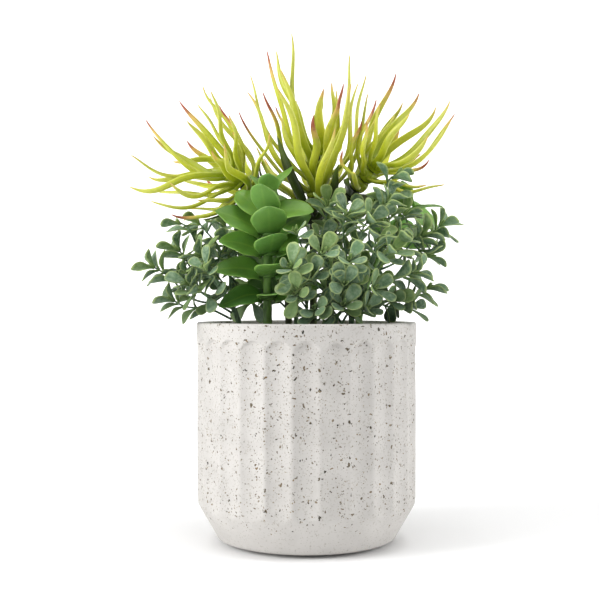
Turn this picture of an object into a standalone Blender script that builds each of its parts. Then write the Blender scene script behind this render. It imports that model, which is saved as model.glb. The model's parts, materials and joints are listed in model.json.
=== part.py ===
"""Potted faux succulent arrangement, in metres with +Z up.

The origin is the centre of the felt pad's underside, on the table, and the pot stands round +Z.
Eight wired picks stand in a foam block. Each bends where its stem enters the soil cover, and its
foliage is moulded whorls threaded on the stem, or forked sprigs plugged along it.
"""

import math
import random

import bmesh
import bpy
import numpy as np
from mathutils import Matrix, Vector
from mathutils.bvhtree import BVHTree

MM = 0.001
UP = Vector((0, 0, 1))
GAP = 0.0003  # between pieces that touch
TINY = 1e-5
MERGE = 1e-6  # points nearer than this are one

# Pot
POT_RADIUS = 0.0635  # over the ridges and at the rim
POT_HEIGHT = 0.126  # table to rim
POT_WALL = 0.0062
POT_FLOOR = 0.0075
FOOT_RADIUS = 0.0460  # flat underside
FOOT_ROUND = 0.0060  # across the rounded edge under the taper
FOOT_ROUND_RISE = 0.0027
FOOT_ROUND_STEP = (0.7, 0.35)  # shares of that width and rise at the edge's middle ring
TAPER_TOP = 0.0240  # height where the sides become upright
SHOULDER_RISE = 0.8  # of that height, where the taper starts to turn upright
SHOULDER_SHARE = 0.24  # of the taper's width, which it still has left there
SIDE_RINGS = ((0.0006, -0.0008), (0, 0.0015), (0, 0.0030))  # inward and up from the taper's top edge
RIM_ROUND = 0.0012
FLUTES = 26
FLUTE_DEPTH = 0.0019
FLUTE_STEPS = 4
RIM_BAND = 0.0085  # plain band above the flutes
FLUTE_ARCH = 0.0050  # rise of each flute's arched top
ARCH_STEP = 0.3  # of that rise, down to the ring inside the arch
FLUTE_FOOT = 0.0025  # from the taper's top up to where the flutes start

# What fills and carries the pot
PAD_RADIUS = 0.0400
PAD_THICKNESS = 0.0012
FOAM_SLACK = 0.0005  # round the foam and the soil cover
FOAM_DROP = 0.0180  # rim to foam
SOIL_DROP = 0.0070  # rim to soil
PIVOT_DEPTH = 0.0040  # soil top to the point where a stem bends
STAKE_RADIUS = 0.0010
STAKE_LENGTH = 0.0600
STAKE_GAP = 0.0008  # stake top to stem foot

# Foliage. Its points are in millimetres from the pot's axis and above the rim, for this height.
DRAWN_HEIGHT = 0.1695
PLANT_HEIGHT = 0.1695  # rim to the tallest tip
CLEAR = 0.0004  # kept round each leaf and twig
WHORL_GAP = 0.0006  # between whorls on a stem, and round it
TWIG_RADIUS = 0.0008
SOCKET_GAP = 0.00196  # stem's side to the middle of a twig's slanting end
NODE_LENGTH = 0.0018  # stretch of twig that carries a pair of leaves
FOOT_SHARE = 0.3  # of a leaf, where it may crowd the other leaves of its own piece
FREE_SHARE = 0.03  # of a leaf, from its foot, which may touch what carries it
MIDRIB_PULL = 0.36  # of a leaf's length, by which its curve follows its first and last directions
POSES = (0.0, 0.5, 1.0)  # shares of a pick's bend at which its foliage keeps clear

PLANT_SCALE = PLANT_HEIGHT / DRAWN_HEIGHT
SOIL_TOP = POT_HEIGHT - SOIL_DROP
SOIL_BOTTOM = POT_HEIGHT - FOAM_DROP + GAP
STEM_LEAN = 12  # degrees that every hole in the soil leaves room for, with a gap round the stem
PIVOT_HEIGHT = SOIL_TOP - PIVOT_DEPTH
MOUTH_RADIUS = POT_RADIUS - POT_WALL
POT_FOOT = PAD_THICKNESS + GAP
INNER_FLOOR = POT_FOOT + POT_FLOOR

# How round things are divided
STEM_BEVEL = 2
DRILL_SIDES = 12
WIRE_SIDES = 10
ROUND_SIDES = 48

# How leaves and twigs vary
RISE_SPREAD = 8  # degrees that a whorl's leaves differ in rise, either way
LENGTH_SPREAD = (0.80, 1.08)  # of a whorl's leaf length
SPIKE_SWAY = 0.3  # how far a spike's tip may turn aside
HUB_SHARE = 0.9  # of a whorl's radius, which leaves of other pieces keep clear of
TWIG_PULLS = (0.4, 0.25)  # of a twig's span, by which its curve follows its first and last directions
TWIG_TAPER = (1.15, 0.80)  # of its radius, at its foot and its end
TWIG_LIFT = 0.7  # how far a twig's end turns up
SPRIG_RISE = (12, 34)  # degrees, of the leaves along a twig
ROSETTE_RISE = (38, 52)  # degrees, of the leaves at its end
SPRIG_SIZES = (0.78, 1.12)  # of a sprig's leaf length
ROSETTE_SIZE = 0.9
SPRIG_CURVE = (0.35, 0.25)  # how far a sprig's leaf rises at its foot and hangs at its tip

# Each kind of leaf: (share of length, share of width, share of thickness) from foot to tip
OUTLINES = {
    "spike": ((0, 0.80, 1), (0.33, 1, 1), (0.70, 0.74, 0.75), (1, 0.08, 0.15)),
    "strap": ((0, 0.70, 1), (0.40, 1, 1), (0.75, 0.70, 0.80), (1, 0.08, 0.30)),
    "jade": ((0, 0.58, 1), (0.22, 0.90, 1), (0.48, 1, 1), (0.78, 0.72, 0.80), (1, 0.06, 0.40)),
    "frost": ((0, 0.25, 1), (0.60, 1, 1), (0.85, 0.85, 0.80), (1, 0.35, 0.60)),
}
CORNERS = ((-1, -1), (1, -1), (1, 1), (-1, 1))
LEAF_RINGS = {
    "spike": (0.33, 0.70),
    "strap": (0.40, 0.75),
    "jade": (0.22, 0.48, 0.78),
    "frost": (0.62,),
}
JADE_LEAN = 0.75  # how far jade leaves turn their faces to the front
START_RISE = {"spike": 0.65, "strap": 0.8, "jade": 1.25}  # of a whorl's rise, where its leaves start
CURL = {"spike": (0.15, 0.8), "strap": (0.1, 0.4), "jade": (-0.35, -0.1)}  # how far a tip turns up
THICKNESS = {"spike": 0.0025, "strap": 0.0016, "jade": 0.0017, "frost": 0.0011}

# Picks: foot on the soil, the way it bends, how far in degrees, stem radius, stem points
PICKS = {
    "center_spike": ((4, 5), 90, 8, 2.3, ((4, 5, 30), (4, 5, 56), (6, 5, 97))),
    "left_spike": ((-10, 6), 180, 8, 2.1,
                   ((-12, 6, 30), (-16, 5, 52), (-26, 3, 69), (-43, 0, 84))),
    "right_spike": ((15, 12), 0, 8, 2.1,
                    ((14, 14, 30), (16, 14, 52), (24, 10, 73), (38, 2, 88))),
    "front_jade": ((-22, -20), 270, 5, 2.8,
                   ((-22, -21, 12), (-21.6, -23.4, 44), (-21.2, -24.5, 69))),
    "back_jade": ((30, 24), 50, 8, 1.9, ((36, 25, 20), (48, 23, 48), (57, 20, 64))),
    "right_spray": ((24, -14), 330, 6, 1.6, ((27, -18, 10), (34, -22, 28), (40, -22, 44))),
    "left_spray": ((-36, -6), 200, 6, 1.6, ((-41, -7, 6), (-50, -7, 20), (-58, -4, 34))),
    "back_spray": ((-6, 36), 95, 8, 1.6, ((-6, 40, 12), (-4, 43, 28), (0, 44, 42))),
}

# Whorls: pick, kind, share of the stem's last stretch, leaves, rise in degrees, length, width,
# and the tips that are placed by hand
WHORLS = {
    "center_collar": ("center_spike", "strap", 0.10, 5, 40, 34, 7.5,
                      ((-17, -15, 106), (18, -23, 89))),
    "center_tier_1": ("center_spike", "spike", 0.30, 9, 20, 42, 4.8,
                      ((-29, -14, 100), (-34, -12, 86), (27, -30, 107), (12, -44, 98))),
    "center_tier_2": ("center_spike", "spike", 0.48, 9, 34, 46, 4.9,
                      ((-40, 6, 124), (-36, -14, 131), (37, 18, 137), (-17, -34, 131), (25, -26, 134))),
    "center_tier_3": ("center_spike", "spike", 0.66, 9, 46, 48, 4.9,
                      ((-33, 0, 144), (-26, 16, 137), (35, 2, 145), (31, 14, 142))),
    "center_tier_4": ("center_spike", "spike", 0.84, 8, 58, 48, 5.0,
                      ((-23, -6, 157), (-15, -16, 144), (25, -4, 155), (18, 16, 138))),
    "center_crown": ("center_spike", "spike", 1, 6, 72, 42, 5.2,
                     ((-9, 4, 169.5), (-13, 12, 161), (9, 14, 133))),
    "left_tier_1": ("left_spike", "spike", 0.50, 10, 24, 48, 4.5,
                    ((-50, -12, 124), (-57, 10, 133), (-68, 8, 66), (-78, -8, 62))),
    "left_tier_2": ("left_spike", "spike", 0.83, 10, 40, 48, 4.5,
                    ((-60, -4, 137), (-72, 22, 109), (-89, -14, 69), (-75, 6, 130))),
    "left_crown": ("left_spike", "spike", 1, 9, 58, 46, 4.5,
                   ((-92, -12, 116), (-90, 4, 109), (-100, -16, 95), (-102.5, -8, 78), (-95, 10, 84),
                    (-79, 24, 98))),
    "right_tier_1": ("right_spike", "spike", 0.50, 10, 24, 50, 4.6,
                     ((34, -6, 135), (36, -16, 132), (45, 4, 151))),
    "right_tier_2": ("right_spike", "spike", 0.84, 10, 40, 48, 4.6,
                     ((49, -8, 146), (57, 12, 130), (57, 22, 124), (71, -4, 94), (68, 12, 99))),
    "right_crown": ("right_spike", "spike", 1, 9, 58, 46, 4.6,
                    ((60, 0, 140), (75, -2, 125), (82, -12, 127), (85.5, 6, 124), (83, -8, 116))),
    "left_collar": ("left_spike", "strap", 0.17, 5, 30, 34, 6.5, ((-40, -10, 109), (-62, -10, 66))),
    "right_collar": ("right_spike", "strap", 0.16, 5, 30, 36, 7.5, ((52, -16, 72), (46, -4, 70))),
    "front_jade_rosette": ("front_jade", "jade", 1, 3, 56, 19, 12, ((-21, -37, 82), (-32, -18, 83))),
    "front_jade_tier_5": ("front_jade", "jade", 0.66, 4, 30, 26, 18, ((4, -28, 62), (-40, -14, 74))),
    "front_jade_tier_4": ("front_jade", "jade", 0.26, 4, 26, 30, 20, ((-51, -27, 62), (-20, -46, 66))),
    "front_jade_tier_3": ("front_jade", "jade", -0.14, 4, 24, 30, 19, ((-49, -28, 45), (-18, -50, 48))),
    "front_jade_tier_2": ("front_jade", "jade", -0.52, 4, 22, 30, 19, ((-52, -26, 29), (-16, -50, 32))),
    "front_jade_tier_1": ("front_jade", "jade", -0.92, 4, 20, 28, 18, ((-49, -27, 9), (-15, -46, 16))),
    "back_jade_rosette": ("back_jade", "jade", 1, 3, 40, 26, 15,
                          ((81, 14, 68), (57, 18, 84), (85, 26, 52))),
    "back_jade_tier": ("back_jade", "jade", 0.10, 4, 24, 26, 15, ((74, 12, 44),)),
}
SPIKE_WHORL_HEIGHT = 0.0066
DRAWN_PITCH = 0.0072  # from whorl to whorl, for which the spike stems' last stretches are drawn
JADE_WHORL_HEIGHT = 0.0040
CROWN_HEIGHT = 0.0060
BAND_HEIGHT = {"spike": 0.0026, "strap": 0.0024, "jade": 0.0024}  # where the leaves grow from
WHORL_WALL = 0.0012  # round the stem
WHORL_WALL_PER_LEAF = 0.00012

# Sprigs: spray, share of its stem, and the end of each twig. The first twig carries the others.
SPRIGS = {
    "right_sprig_1": ("right_spray", 0.16, ((-12, -46, 30), (-6, -50, 16), (2, -44, 26))),
    "right_sprig_2": ("right_spray", 0.34, ((-6, -38, 50), (8, -48, 38), (8, -26, 46))),
    "right_sprig_3": ("right_spray", 0.22, ((19, -48, 10), (4, -50, 8), (32, -42, 8))),
    "right_sprig_4": ("right_spray", 0.50, ((22, -50, 34), (36, -46, 19), (20, -50, 21))),
    "right_sprig_5": ("right_spray", 0.72, ((22, -34, 60), (12, -20, 66), (34, -36, 56))),
    "right_sprig_6": ("right_spray", 0.97, ((46, -26, 69), (54, -14, 82), (38, -12, 66))),
    "right_sprig_7": ("right_spray", 0.84, ((45, -42, 39), (60, -32, 28), (38, -38, 46), (52, -34, 46))),
    "right_sprig_8": ("right_spray", 0.90, ((66, -18, 50), (77, -10, 56), (56, -16, 62), (70, -14, 38))),
    "right_sprig_9": ("right_spray", 0.42, ((68, -22, 20), (58, -24, 9), (46, -30, 13))),
    "left_sprig_1": ("left_spray", 0.62, ((-88, -12, 32), (-74, -6, 42), (-72, -8, 26))),
    "left_sprig_2": ("left_spray", 0.97, ((-63, 4, 58), (-74, 6, 58), (-48, 6, 57), (-38, 2, 48))),
    "left_sprig_3": ("left_spray", 0.80, ((-60, -20, 38), (-68, -18, 28), (-46, -4, 44))),
    "left_sprig_4": ("left_spray", 0.36, ((-76, -18, 13), (-66, -26, 22))),
    "left_sprig_5": ("left_spray", 0.46, ((-62, -28, 18), (-56, -34, 30))),
    "left_sprig_6": ("left_spray", 0.66, ((-46, 16, 46), (-34, 14, 34), (-56, 20, 34), (-48, 12, 20))),
    "back_sprig_1": ("back_spray", 0.30, ((-34, 46, 22), (-24, 48, 40), (-44, 32, 34), (-38, 30, 12))),
    "back_sprig_2": ("back_spray", 0.55, ((22, 56, 24), (34, 46, 44), (44, 42, 26), (14, 52, 36))),
    "back_sprig_3": ("back_spray", 0.97, ((-10, 46, 62), (12, 48, 58), (-28, 38, 54), (26, 40, 56))),
}
SPRIG_LEAF = 0.0148
SPRIG_LEAF_WIDTH = 0.0086
NODE_SPACING = 0.0072
TIP_NODES = (0.0012, 0.0042, 0.0074)  # from a twig's end back to its closest leaf nodes
BARE_SHARE = 0.28  # of a twig, next to what carries it

# Materials: colour, roughness, metallic
MATERIALS = {
    "pot_stone": ((0.68, 0.65, 0.61), 0.75, 0.0),
    "felt": ((0.10, 0.10, 0.10), 0.95, 0.0),
    "foam": ((0.10, 0.16, 0.08), 0.90, 0.0),
    "soil": ((0.05, 0.04, 0.03), 0.95, 0.0),
    "stake_steel": ((0.45, 0.45, 0.45), 0.40, 1.0),
    "dark_stem": ((0.05, 0.10, 0.02), 0.55, 0.0),
    "spike_leaf": ((0.47, 0.52, 0.05), 0.45, 0.0),
    "dark_strap": ((0.03, 0.06, 0.01), 0.50, 0.0),
    "jade_leaf": ((0.13, 0.32, 0.04), 0.45, 0.0),
    "frost_stem": ((0.12, 0.18, 0.11), 0.65, 0.0),
    "frost_leaf": ((0.20, 0.34, 0.19), 0.70, 0.0),
}
KIND_MATERIALS = {"spike": "spike_leaf", "strap": "dark_strap", "jade": "jade_leaf"}


# ---------------------------------------------------------------- where the foliage goes


def placed(point):
    """A point of the drawing, in metres on the pot."""
    return Vector(point) * MM * PLANT_SCALE + UP * POT_HEIGHT


def heading(degrees):
    return Vector((math.cos(math.radians(degrees)), math.sin(math.radians(degrees)), 0))


def smooth_path(points, steps):
    """Points on a Catmull-Rom curve through the given ones."""
    ends = [points[0] * 2 - points[1], *points, points[-1] * 2 - points[-2]]
    path = []
    for before, here, there, after in zip(ends, ends[1:], ends[2:], ends[3:]):
        for step in range(steps):
            t = step / steps
            path.append(
                0.5
                * (
                    2 * here
                    + (there - before) * t
                    + (2 * before - 5 * here + 4 * there - after) * t * t
                    + (3 * here - before - 3 * there + after) * t * t * t
                )
            )
    return [*path, points[-1]]


def square_rings(path, radii):
    """Four-cornered rings along a path, turned as little as possible from one to the next."""
    side = None
    rings = []
    for index, point in enumerate(path):
        ahead = path[min(index + 1, len(path) - 1)] - path[max(index - 1, 0)]
        ahead.normalize()
        side = ahead.orthogonal() if side is None else side
        side = (side - ahead * side.dot(ahead)).normalized()
        across = ahead.cross(side)
        rings.append([point + (side * s + across * n) * radii[index] for s, n in CORNERS])
    return rings


def ring_shape(rings):
    """Corners and faces of a closed shape through four-cornered rings."""
    corners = [corner for ring in rings for corner in ring]
    faces = [(3, 2, 1, 0)]
    for start in range(0, len(corners) - 4, 4):
        for i in range(4):
            j = (i + 1) % 4
            faces.append((start + i, start + j, start + j + 4, start + i + 4))
    last = len(corners) - 4
    faces.append((last, last + 1, last + 2, last + 3))
    return corners, faces


class Pick:
    """A wired stem, with the bend it makes at the soil."""

    def __init__(self, name):
        foot, way, self.reach, radius, points = PICKS[name]
        self.name = name
        self.radius = radius * MM
        self.pivot = Vector((foot[0] * MM, foot[1] * MM, PIVOT_HEIGHT))
        self.axis = UP.cross(heading(way))
        self.points = [self.pivot, *map(placed, points)]
        if name.endswith("spike"):
            self.points[-2] = self.stack_foot(points)
        self.path = smooth_path(self.points, 4)[: 4 * (len(self.points) - 2)] + self.points[-2:]
        self.hole_radius = max(self.room(math.radians(STEM_LEAN)) + GAP * 2, self.room(self.lean()))

    def lean(self):
        return (self.path[1] - self.path[0]).angle(UP)

    def room(self, lean):
        """How far from the pick's axis the stem reaches at the soil's top, leaning and bent."""
        return self.radius + PIVOT_DEPTH * math.tan(math.radians(self.reach) + lean)

    def stack_foot(self, points):
        """Where the last, straight stretch starts: it is as long as the whorls stacked on it need."""
        drawn = (Vector(points[-1]) - Vector(points[-2])).length * MM
        length = drawn * (SPIKE_WHORL_HEIGHT + WHORL_GAP) / DRAWN_PITCH
        return self.points[-1] - (self.points[-1] - self.points[-2]).normalized() * length

    def bent(self, point, share):
        turn = Matrix.Rotation(math.radians(self.reach * share), 3, self.axis)
        return self.pivot + turn @ (point - self.pivot)

    def head(self, share):
        """A point on the last, straight stretch of the stem; below 0 it is on the stretch before."""
        last = self.points[-1] - self.points[-2]
        if share >= 0:
            return self.points[-2] + last * share, last.normalized()
        before = self.points[-2] - self.points[-3]
        return self.points[-2] + before * share, before.normalized()

    def along(self, share):
        """A point on the whole stem and the direction there."""
        spot = share * (len(self.path) - 1)
        index = min(int(spot), len(self.path) - 2)
        run = self.path[index + 1] - self.path[index]
        return self.path[index] + run * (spot - index), run.normalized()


class Space:
    """Remembers every leaf and twig placed so far, so that the next one can keep clear of them."""

    def __init__(self):
        self.trees = []
        self.keys = []
        self.lows = np.zeros((0, 3))
        self.highs = np.zeros((0, 3))

    def views(self, shape, pick):
        corners, faces = shape
        for pose, share in enumerate(POSES):
            moved = [pick.bent(corner, share) for corner in corners]
            cloud = np.array(moved)
            yield pose, BVHTree.FromPolygons(moved, faces), cloud.min(axis=0), cloud.max(axis=0)

    def add(self, shape, pick, piece):
        for pose, tree, low, high in self.views(shape, pick):
            self.trees.append(tree)
            self.keys.append((pick.name, piece, pose))
            self.lows = np.vstack([self.lows, low])
            self.highs = np.vstack([self.highs, high])

    def blocked(self, shape, pick, family=()):
        """True if the shape meets the pot, or anything placed except the pieces of its family."""
        for pose, tree, low, high in self.views(shape, pick):
            near = np.all((self.lows < high) & (self.highs > low), axis=1)
            for index in np.flatnonzero(near):
                name, piece, other_pose = self.keys[index]
                if name == pick.name and (pose != 0 or other_pose != 0):
                    continue
                if piece not in family and tree.overlap(self.trees[index]):
                    return True
        return any(meets_pot(pick.bent(corner, share)) for corner in shape[0] for share in POSES)


def meets_pot(point):
    radius = math.hypot(point.x, point.y)
    if point.z > POT_HEIGHT + CLEAR or radius > POT_RADIUS + CLEAR:
        return False
    return radius > MOUTH_RADIUS - CLEAR or point.z < SOIL_TOP + CLEAR


class Leaf:
    """One leaf: a curved midrib, with a width and a thickness along it."""

    def __init__(self, kind, base, start, tip, end, upward, width):
        self.kind = kind
        self.base = base
        self.start = start.normalized()
        self.tip = tip
        self.end = end.normalized()
        self.upward = upward
        self.width = width
        self.thickness = THICKNESS[kind]
        self.side = upward.cross(self.start).normalized()

    def midrib(self, t):
        reach = (self.tip - self.base).length * MIDRIB_PULL
        first = self.base + self.start * reach
        second = self.tip - self.end * reach
        back = 1 - t
        return (
            self.base * back**3
            + first * (3 * back * back * t)
            + second * (3 * back * t * t)
            + self.tip * t**3
        )

    def ring(self, t, spare=0.0):
        """The leaf's four corners at a share of its length, held off by a spare distance."""
        ahead = (self.midrib(min(t + 0.02, 1.0)) - self.midrib(max(t - 0.02, 0.0))).normalized()
        side = (self.side - ahead * self.side.dot(ahead)).normalized()
        across = ahead.cross(side)
        shares, widths, depths = zip(*OUTLINES[self.kind])
        half = 0.5 * self.width * float(np.interp(t, shares, widths)) + spare
        deep = 0.5 * self.thickness * float(np.interp(t, shares, depths)) + spare
        centre = self.midrib(t)
        return [centre + side * half * s + across * deep * n for s, n in CORNERS]

    def shape(self, first, last):
        return ring_shape([self.ring(first + (last - first) * i / 5, CLEAR) for i in range(6)])

    def turned(self, sway, lift, length):
        """The same leaf swung sideways and up by degrees, and shortened."""
        swing = Matrix.Rotation(math.radians(sway), 3, self.upward)
        swing = swing @ Matrix.Rotation(math.radians(-lift), 3, self.side)
        half = Matrix.Rotation(math.radians(sway * 0.5), 3, self.upward)
        tip = self.base + swing @ (self.tip - self.base) * length
        end = swing @ self.end
        return Leaf(self.kind, self.base, half @ self.start, tip, end, self.upward, self.width)


SWINGS = (
    (0, 0), (6, 0), (-6, 0), (0, 6), (0, -6), (12, 4), (-12, 4), (10, -8), (-10, -8), (0, 14),
    (0, -14), (20, 0), (-20, 0), (16, 14), (-16, 14), (30, -6), (-30, -6),
)
TURNS = [(sway, lift, length) for length in (1.0, 0.88, 0.74, 0.6) for sway, lift in SWINGS]


class Piece:
    """A whorl or a sprig, with the leaves that found room on it."""

    def __init__(self, name, pick):
        self.name = name
        self.pick = pick
        self.leaves = {}

    def settle(self, space, slot, leaf, carrier):
        """Puts a leaf in a slot, turned aside as little as it takes to keep clear."""
        feet = f"{self.name} feet"
        for turn in TURNS:
            tried = leaf.turned(*turn)
            if space.blocked(tried.shape(FREE_SHARE, 1.0), self.pick, (carrier, feet)):
                continue
            self.leaves[slot] = tried
            space.add(tried.shape(0.0, FOOT_SHARE), self.pick, feet)
            space.add(tried.shape(FOOT_SHARE, 1.0), self.pick, self.name)
            return


def whorl_height(kind):
    return JADE_WHORL_HEIGHT if kind == "jade" else SPIKE_WHORL_HEIGHT


class Whorl(Piece):
    """Leaves round one place on a stem, or on its end."""

    def __init__(self, name):
        pick_name, self.kind, self.share, self.count, self.rise, length, width, tips = WHORLS[name]
        super().__init__(name, PICKED[pick_name])
        self.length = length * MM * PLANT_SCALE
        self.width = width * MM * PLANT_SCALE
        self.tips = [placed(tip) for tip in tips]
        self.middle, self.axis = self.pick.head(self.share)
        self.is_crown = self.share == 1
        self.height = CROWN_HEIGHT if self.is_crown else whorl_height(self.kind)
        if self.is_crown:
            self.middle += self.axis * (self.height / 2 + WHORL_GAP)
        self.bore = self.pick.radius + WHORL_GAP
        self.outer = self.bore + WHORL_WALL + self.count * WHORL_WALL_PER_LEAF
        self.across = self.axis.cross(heading(37)).normalized()
        self.random = random.Random(name)
        self.phase = self.random.uniform(0, 2 * math.pi / self.count)
        if self.kind == "jade":
            self.phase = self.angle_to(self.tips[0])

    def angle_to(self, tip):
        away = tip - self.middle
        return math.atan2(away.dot(self.axis.cross(self.across)), away.dot(self.across))

    def outward(self, slot):
        angle = self.phase + 2 * math.pi * slot / self.count
        return Matrix.Rotation(angle, 3, self.axis) @ self.across

    def face_centre(self, slot):
        return self.middle + self.outward(slot) * self.outer * math.cos(math.pi / self.count)

    def hub_shape(self):
        half = self.axis * self.height / 2
        inside = self.outer * HUB_SHARE
        return ring_shape(square_rings([self.middle - half, self.middle + half], [inside] * 2))

    def leaf_to(self, slot, tip, curl):
        outward = self.outward(slot)
        base = self.face_centre(slot)
        rise = math.radians(self.rise * START_RISE[self.kind])
        start = outward * math.cos(rise) + self.axis * math.sin(rise)
        run = (tip - base).normalized()
        aside = self.random.uniform(-SPIKE_SWAY, SPIKE_SWAY) * (self.kind == "spike")
        sway = self.axis.cross(outward) * aside
        leans = self.kind == "jade" and not self.is_crown
        lean = Vector((0, -JADE_LEAN, 0)) if leans else Vector()
        upward = (self.axis + lean).normalized()
        return Leaf(self.kind, base, start, tip, run + UP * curl + sway, upward, self.width)

    def free_slot_towards(self, tip):
        open_slots = [slot for slot in range(self.count) if slot not in self.leaves]
        return max(open_slots, key=lambda slot: (tip - self.middle).dot(self.outward(slot)))

    def place_tips(self, space):
        for tip in self.tips:
            slot = self.free_slot_towards(tip)
            curl = self.random.uniform(*CURL[self.kind])
            self.settle(space, slot, self.leaf_to(slot, tip, curl), self.pick.name)

    def fill(self, space):
        for slot in range(self.count):
            if slot in self.leaves:
                continue
            spread = self.random.uniform(-RISE_SPREAD, RISE_SPREAD)
            rise = math.radians(self.rise + spread)
            run = self.outward(slot) * math.cos(rise) + self.axis * math.sin(rise)
            tip = self.face_centre(slot) + run * self.length * self.random.uniform(*LENGTH_SPREAD)
            curl = self.random.uniform(*CURL[self.kind])
            self.settle(space, slot, self.leaf_to(slot, tip, curl), self.pick.name)


class Twig:
    """One arm of a sprig: a path with short stretches that carry pairs of leaves."""

    def __init__(self, start, way, end, face_way):
        span = (end - start).length
        first = start + way * span * TWIG_PULLS[0]
        second = end - face_way * span * TWIG_PULLS[1]
        path = smooth_path([start, first, second, end], 5)
        lengths = [0.0]
        for a, b in zip(path, path[1:]):
            lengths.append(lengths[-1] + (b - a).length)
        self.total = lengths[-1]
        self.cloud = np.array(path)
        self.lengths = np.array(lengths)
        self.stops = self.leaf_stops()
        marks = [0.0]
        for stop in self.stops:
            marks += [stop - NODE_LENGTH / 2, stop + NODE_LENGTH / 2]
        self.marks = [*marks, self.total]
        self.path = [self.spot(mark) for mark in self.marks]
        taper = np.interp(self.marks, (0, self.total), TWIG_TAPER)
        self.rings = square_rings(self.path, [TWIG_RADIUS * float(share) for share in taper])

    def leaf_stops(self):
        """Places of the leaf pairs: a tight rosette at the end, then wider steps back."""
        stops = [self.total - back for back in TIP_NODES]
        while stops[-1] - NODE_SPACING > BARE_SHARE * self.total:
            stops.append(stops[-1] - NODE_SPACING)
        return [stop for stop in reversed(stops) if stop > NODE_LENGTH]

    def spot(self, length):
        return Vector([float(np.interp(length, self.lengths, self.cloud[:, k])) for k in range(3)])

    def shape(self):
        return ring_shape(square_rings(self.path, [TWIG_RADIUS + CLEAR] * len(self.path)))

    def side_of(self, node, side):
        """The middle of one side of a leaf node, and the way it faces."""
        near, far = self.rings[2 * node + 1], self.rings[2 * node + 2]
        corners = [near[side], near[(side + 1) % 4], far[(side + 1) % 4], far[side]]
        centre = sum(corners, Vector()) / 4
        middle = (sum(near, Vector()) + sum(far, Vector())) / 8
        return centre, (centre - middle).normalized()


class Sprig(Piece):
    """A forked twig: its first arm carries the others, one on each of its first leaf nodes."""

    def __init__(self, name):
        spray, self.share, ends = SPRIGS[name]
        super().__init__(name, PICKED[spray])
        self.ends = [placed(end) for end in ends]
        self.random = random.Random(name)
        self.twigs = []
        self.forks = {}

    def branch(self, space):
        for index, end in enumerate(self.ends):
            start, way = self.fork(index, end) if self.twigs else self.socket(end)
            twig = self.clear_twig(space, start, way, end)
            self.twigs.append(twig)
            space.add(twig.shape(), self.pick, self.name)

    def socket(self, end):
        """Where the sprig meets its spray's stem, and the way it starts."""
        spot, run = self.pick.along(self.share)
        away = end - spot
        away = (away - run * away.dot(run)).normalized()
        clear = self.pick.radius + SOCKET_GAP
        return spot + away * clear, (away + run).normalized()

    def fork(self, index, end):
        """The side of one of the first arm's nodes that looks most towards the end."""
        node = index - 1
        sides = [(side, *self.twigs[0].side_of(node, side)) for side in range(4)]
        side, centre, way = max(sides, key=lambda found: found[2].dot(end - found[1]))
        self.forks[index] = (node, side)
        return centre, way

    def clear_twig(self, space, start, way, end):
        """An arm towards the end, swung aside as little as it takes to keep clear."""
        tries = []
        for sway, lift, length in TURNS:
            run = end - start
            swing = Matrix.Rotation(math.radians(sway), 3, UP)
            swing = swing @ Matrix.Rotation(math.radians(-lift), 3, UP.cross(run).normalized())
            goal = start + swing @ run * length
            outward = Vector((goal.x, goal.y, 0)).normalized()
            facing = (outward + UP * TWIG_LIFT + (goal - start).normalized()).normalized()
            tries.append(Twig(start, way, goal, facing))
            if not space.blocked(tries[-1].shape(), self.pick, (self.pick.name, self.name)):
                return tries[-1]
        return tries[0]

    def slots(self):
        """(arm, node, side) of every leaf, tip first."""
        for index, twig in enumerate(self.twigs):
            for node in reversed(range(len(twig.stops))):
                is_last = node == len(twig.stops) - 1
                for side in range(4) if is_last else (0, 2) if (node + index) % 2 else (1, 3):
                    if index or (node, side) not in self.forks.values():
                        yield index, node, side

    def fill(self, space):
        for slot in self.slots():
            index, node, side = slot
            twig = self.twigs[index]
            base, outward = twig.side_of(node, side)
            ahead = (twig.path[2 * node + 2] - twig.path[2 * node + 1]).normalized()
            last = node == len(twig.stops) - 1
            rise = math.radians(self.random.uniform(*(ROSETTE_RISE if last else SPRIG_RISE)))
            run = outward * math.cos(rise) + ahead * math.sin(rise)
            size = self.random.uniform(*SPRIG_SIZES) * (ROSETTE_SIZE if last else 1)
            tip = base + run * SPRIG_LEAF * size
            width = SPRIG_LEAF_WIDTH * size
            lift, droop = SPRIG_CURVE
            leaf = Leaf("frost", base, run + ahead * lift, tip, run - ahead * droop, ahead, width)
            self.settle(space, slot, leaf, self.name)


def plan_foliage():
    """Every whorl and sprig, with its leaves settled clear of the rest."""
    space = Space()
    for pick in PICKED.values():
        radii = [pick.radius + CLEAR] * len(pick.path)
        space.add(ring_shape(square_rings(pick.path, radii)), pick, pick.name)
    whorls = [Whorl(name) for name in WHORLS]
    sprigs = [Sprig(name) for name in SPRIGS]
    for whorl in whorls:
        space.add(whorl.hub_shape(), whorl.pick, f"{whorl.name} feet")
    for whorl in whorls:
        whorl.place_tips(space)
    for sprig in sprigs:
        sprig.branch(space)
    for whorl in whorls:
        whorl.fill(space)
    for sprig in sprigs:
        sprig.fill(space)
    return whorls, sprigs


PICKED = {name: Pick(name) for name in PICKS}


# ---------------------------------------------------------------- making the solids


def clear_scene():
    for old in list(bpy.data.objects):
        bpy.data.objects.remove(old, do_unlink=True)


def new_collection(name, for_cutters=False):
    made = bpy.data.collections.new(name)
    made.hide_render = for_cutters
    bpy.context.scene.collection.children.link(made)
    return made


def new_material(name):
    colour, roughness, metallic = MATERIALS[name]
    made = bpy.data.materials.new(name)
    made.use_nodes = True
    shader = made.node_tree.nodes["Principled BSDF"]
    shader.inputs["Base Color"].default_value = (*colour, 1)
    shader.inputs["Roughness"].default_value = roughness
    shader.inputs["Metallic"].default_value = metallic
    return made


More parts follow.
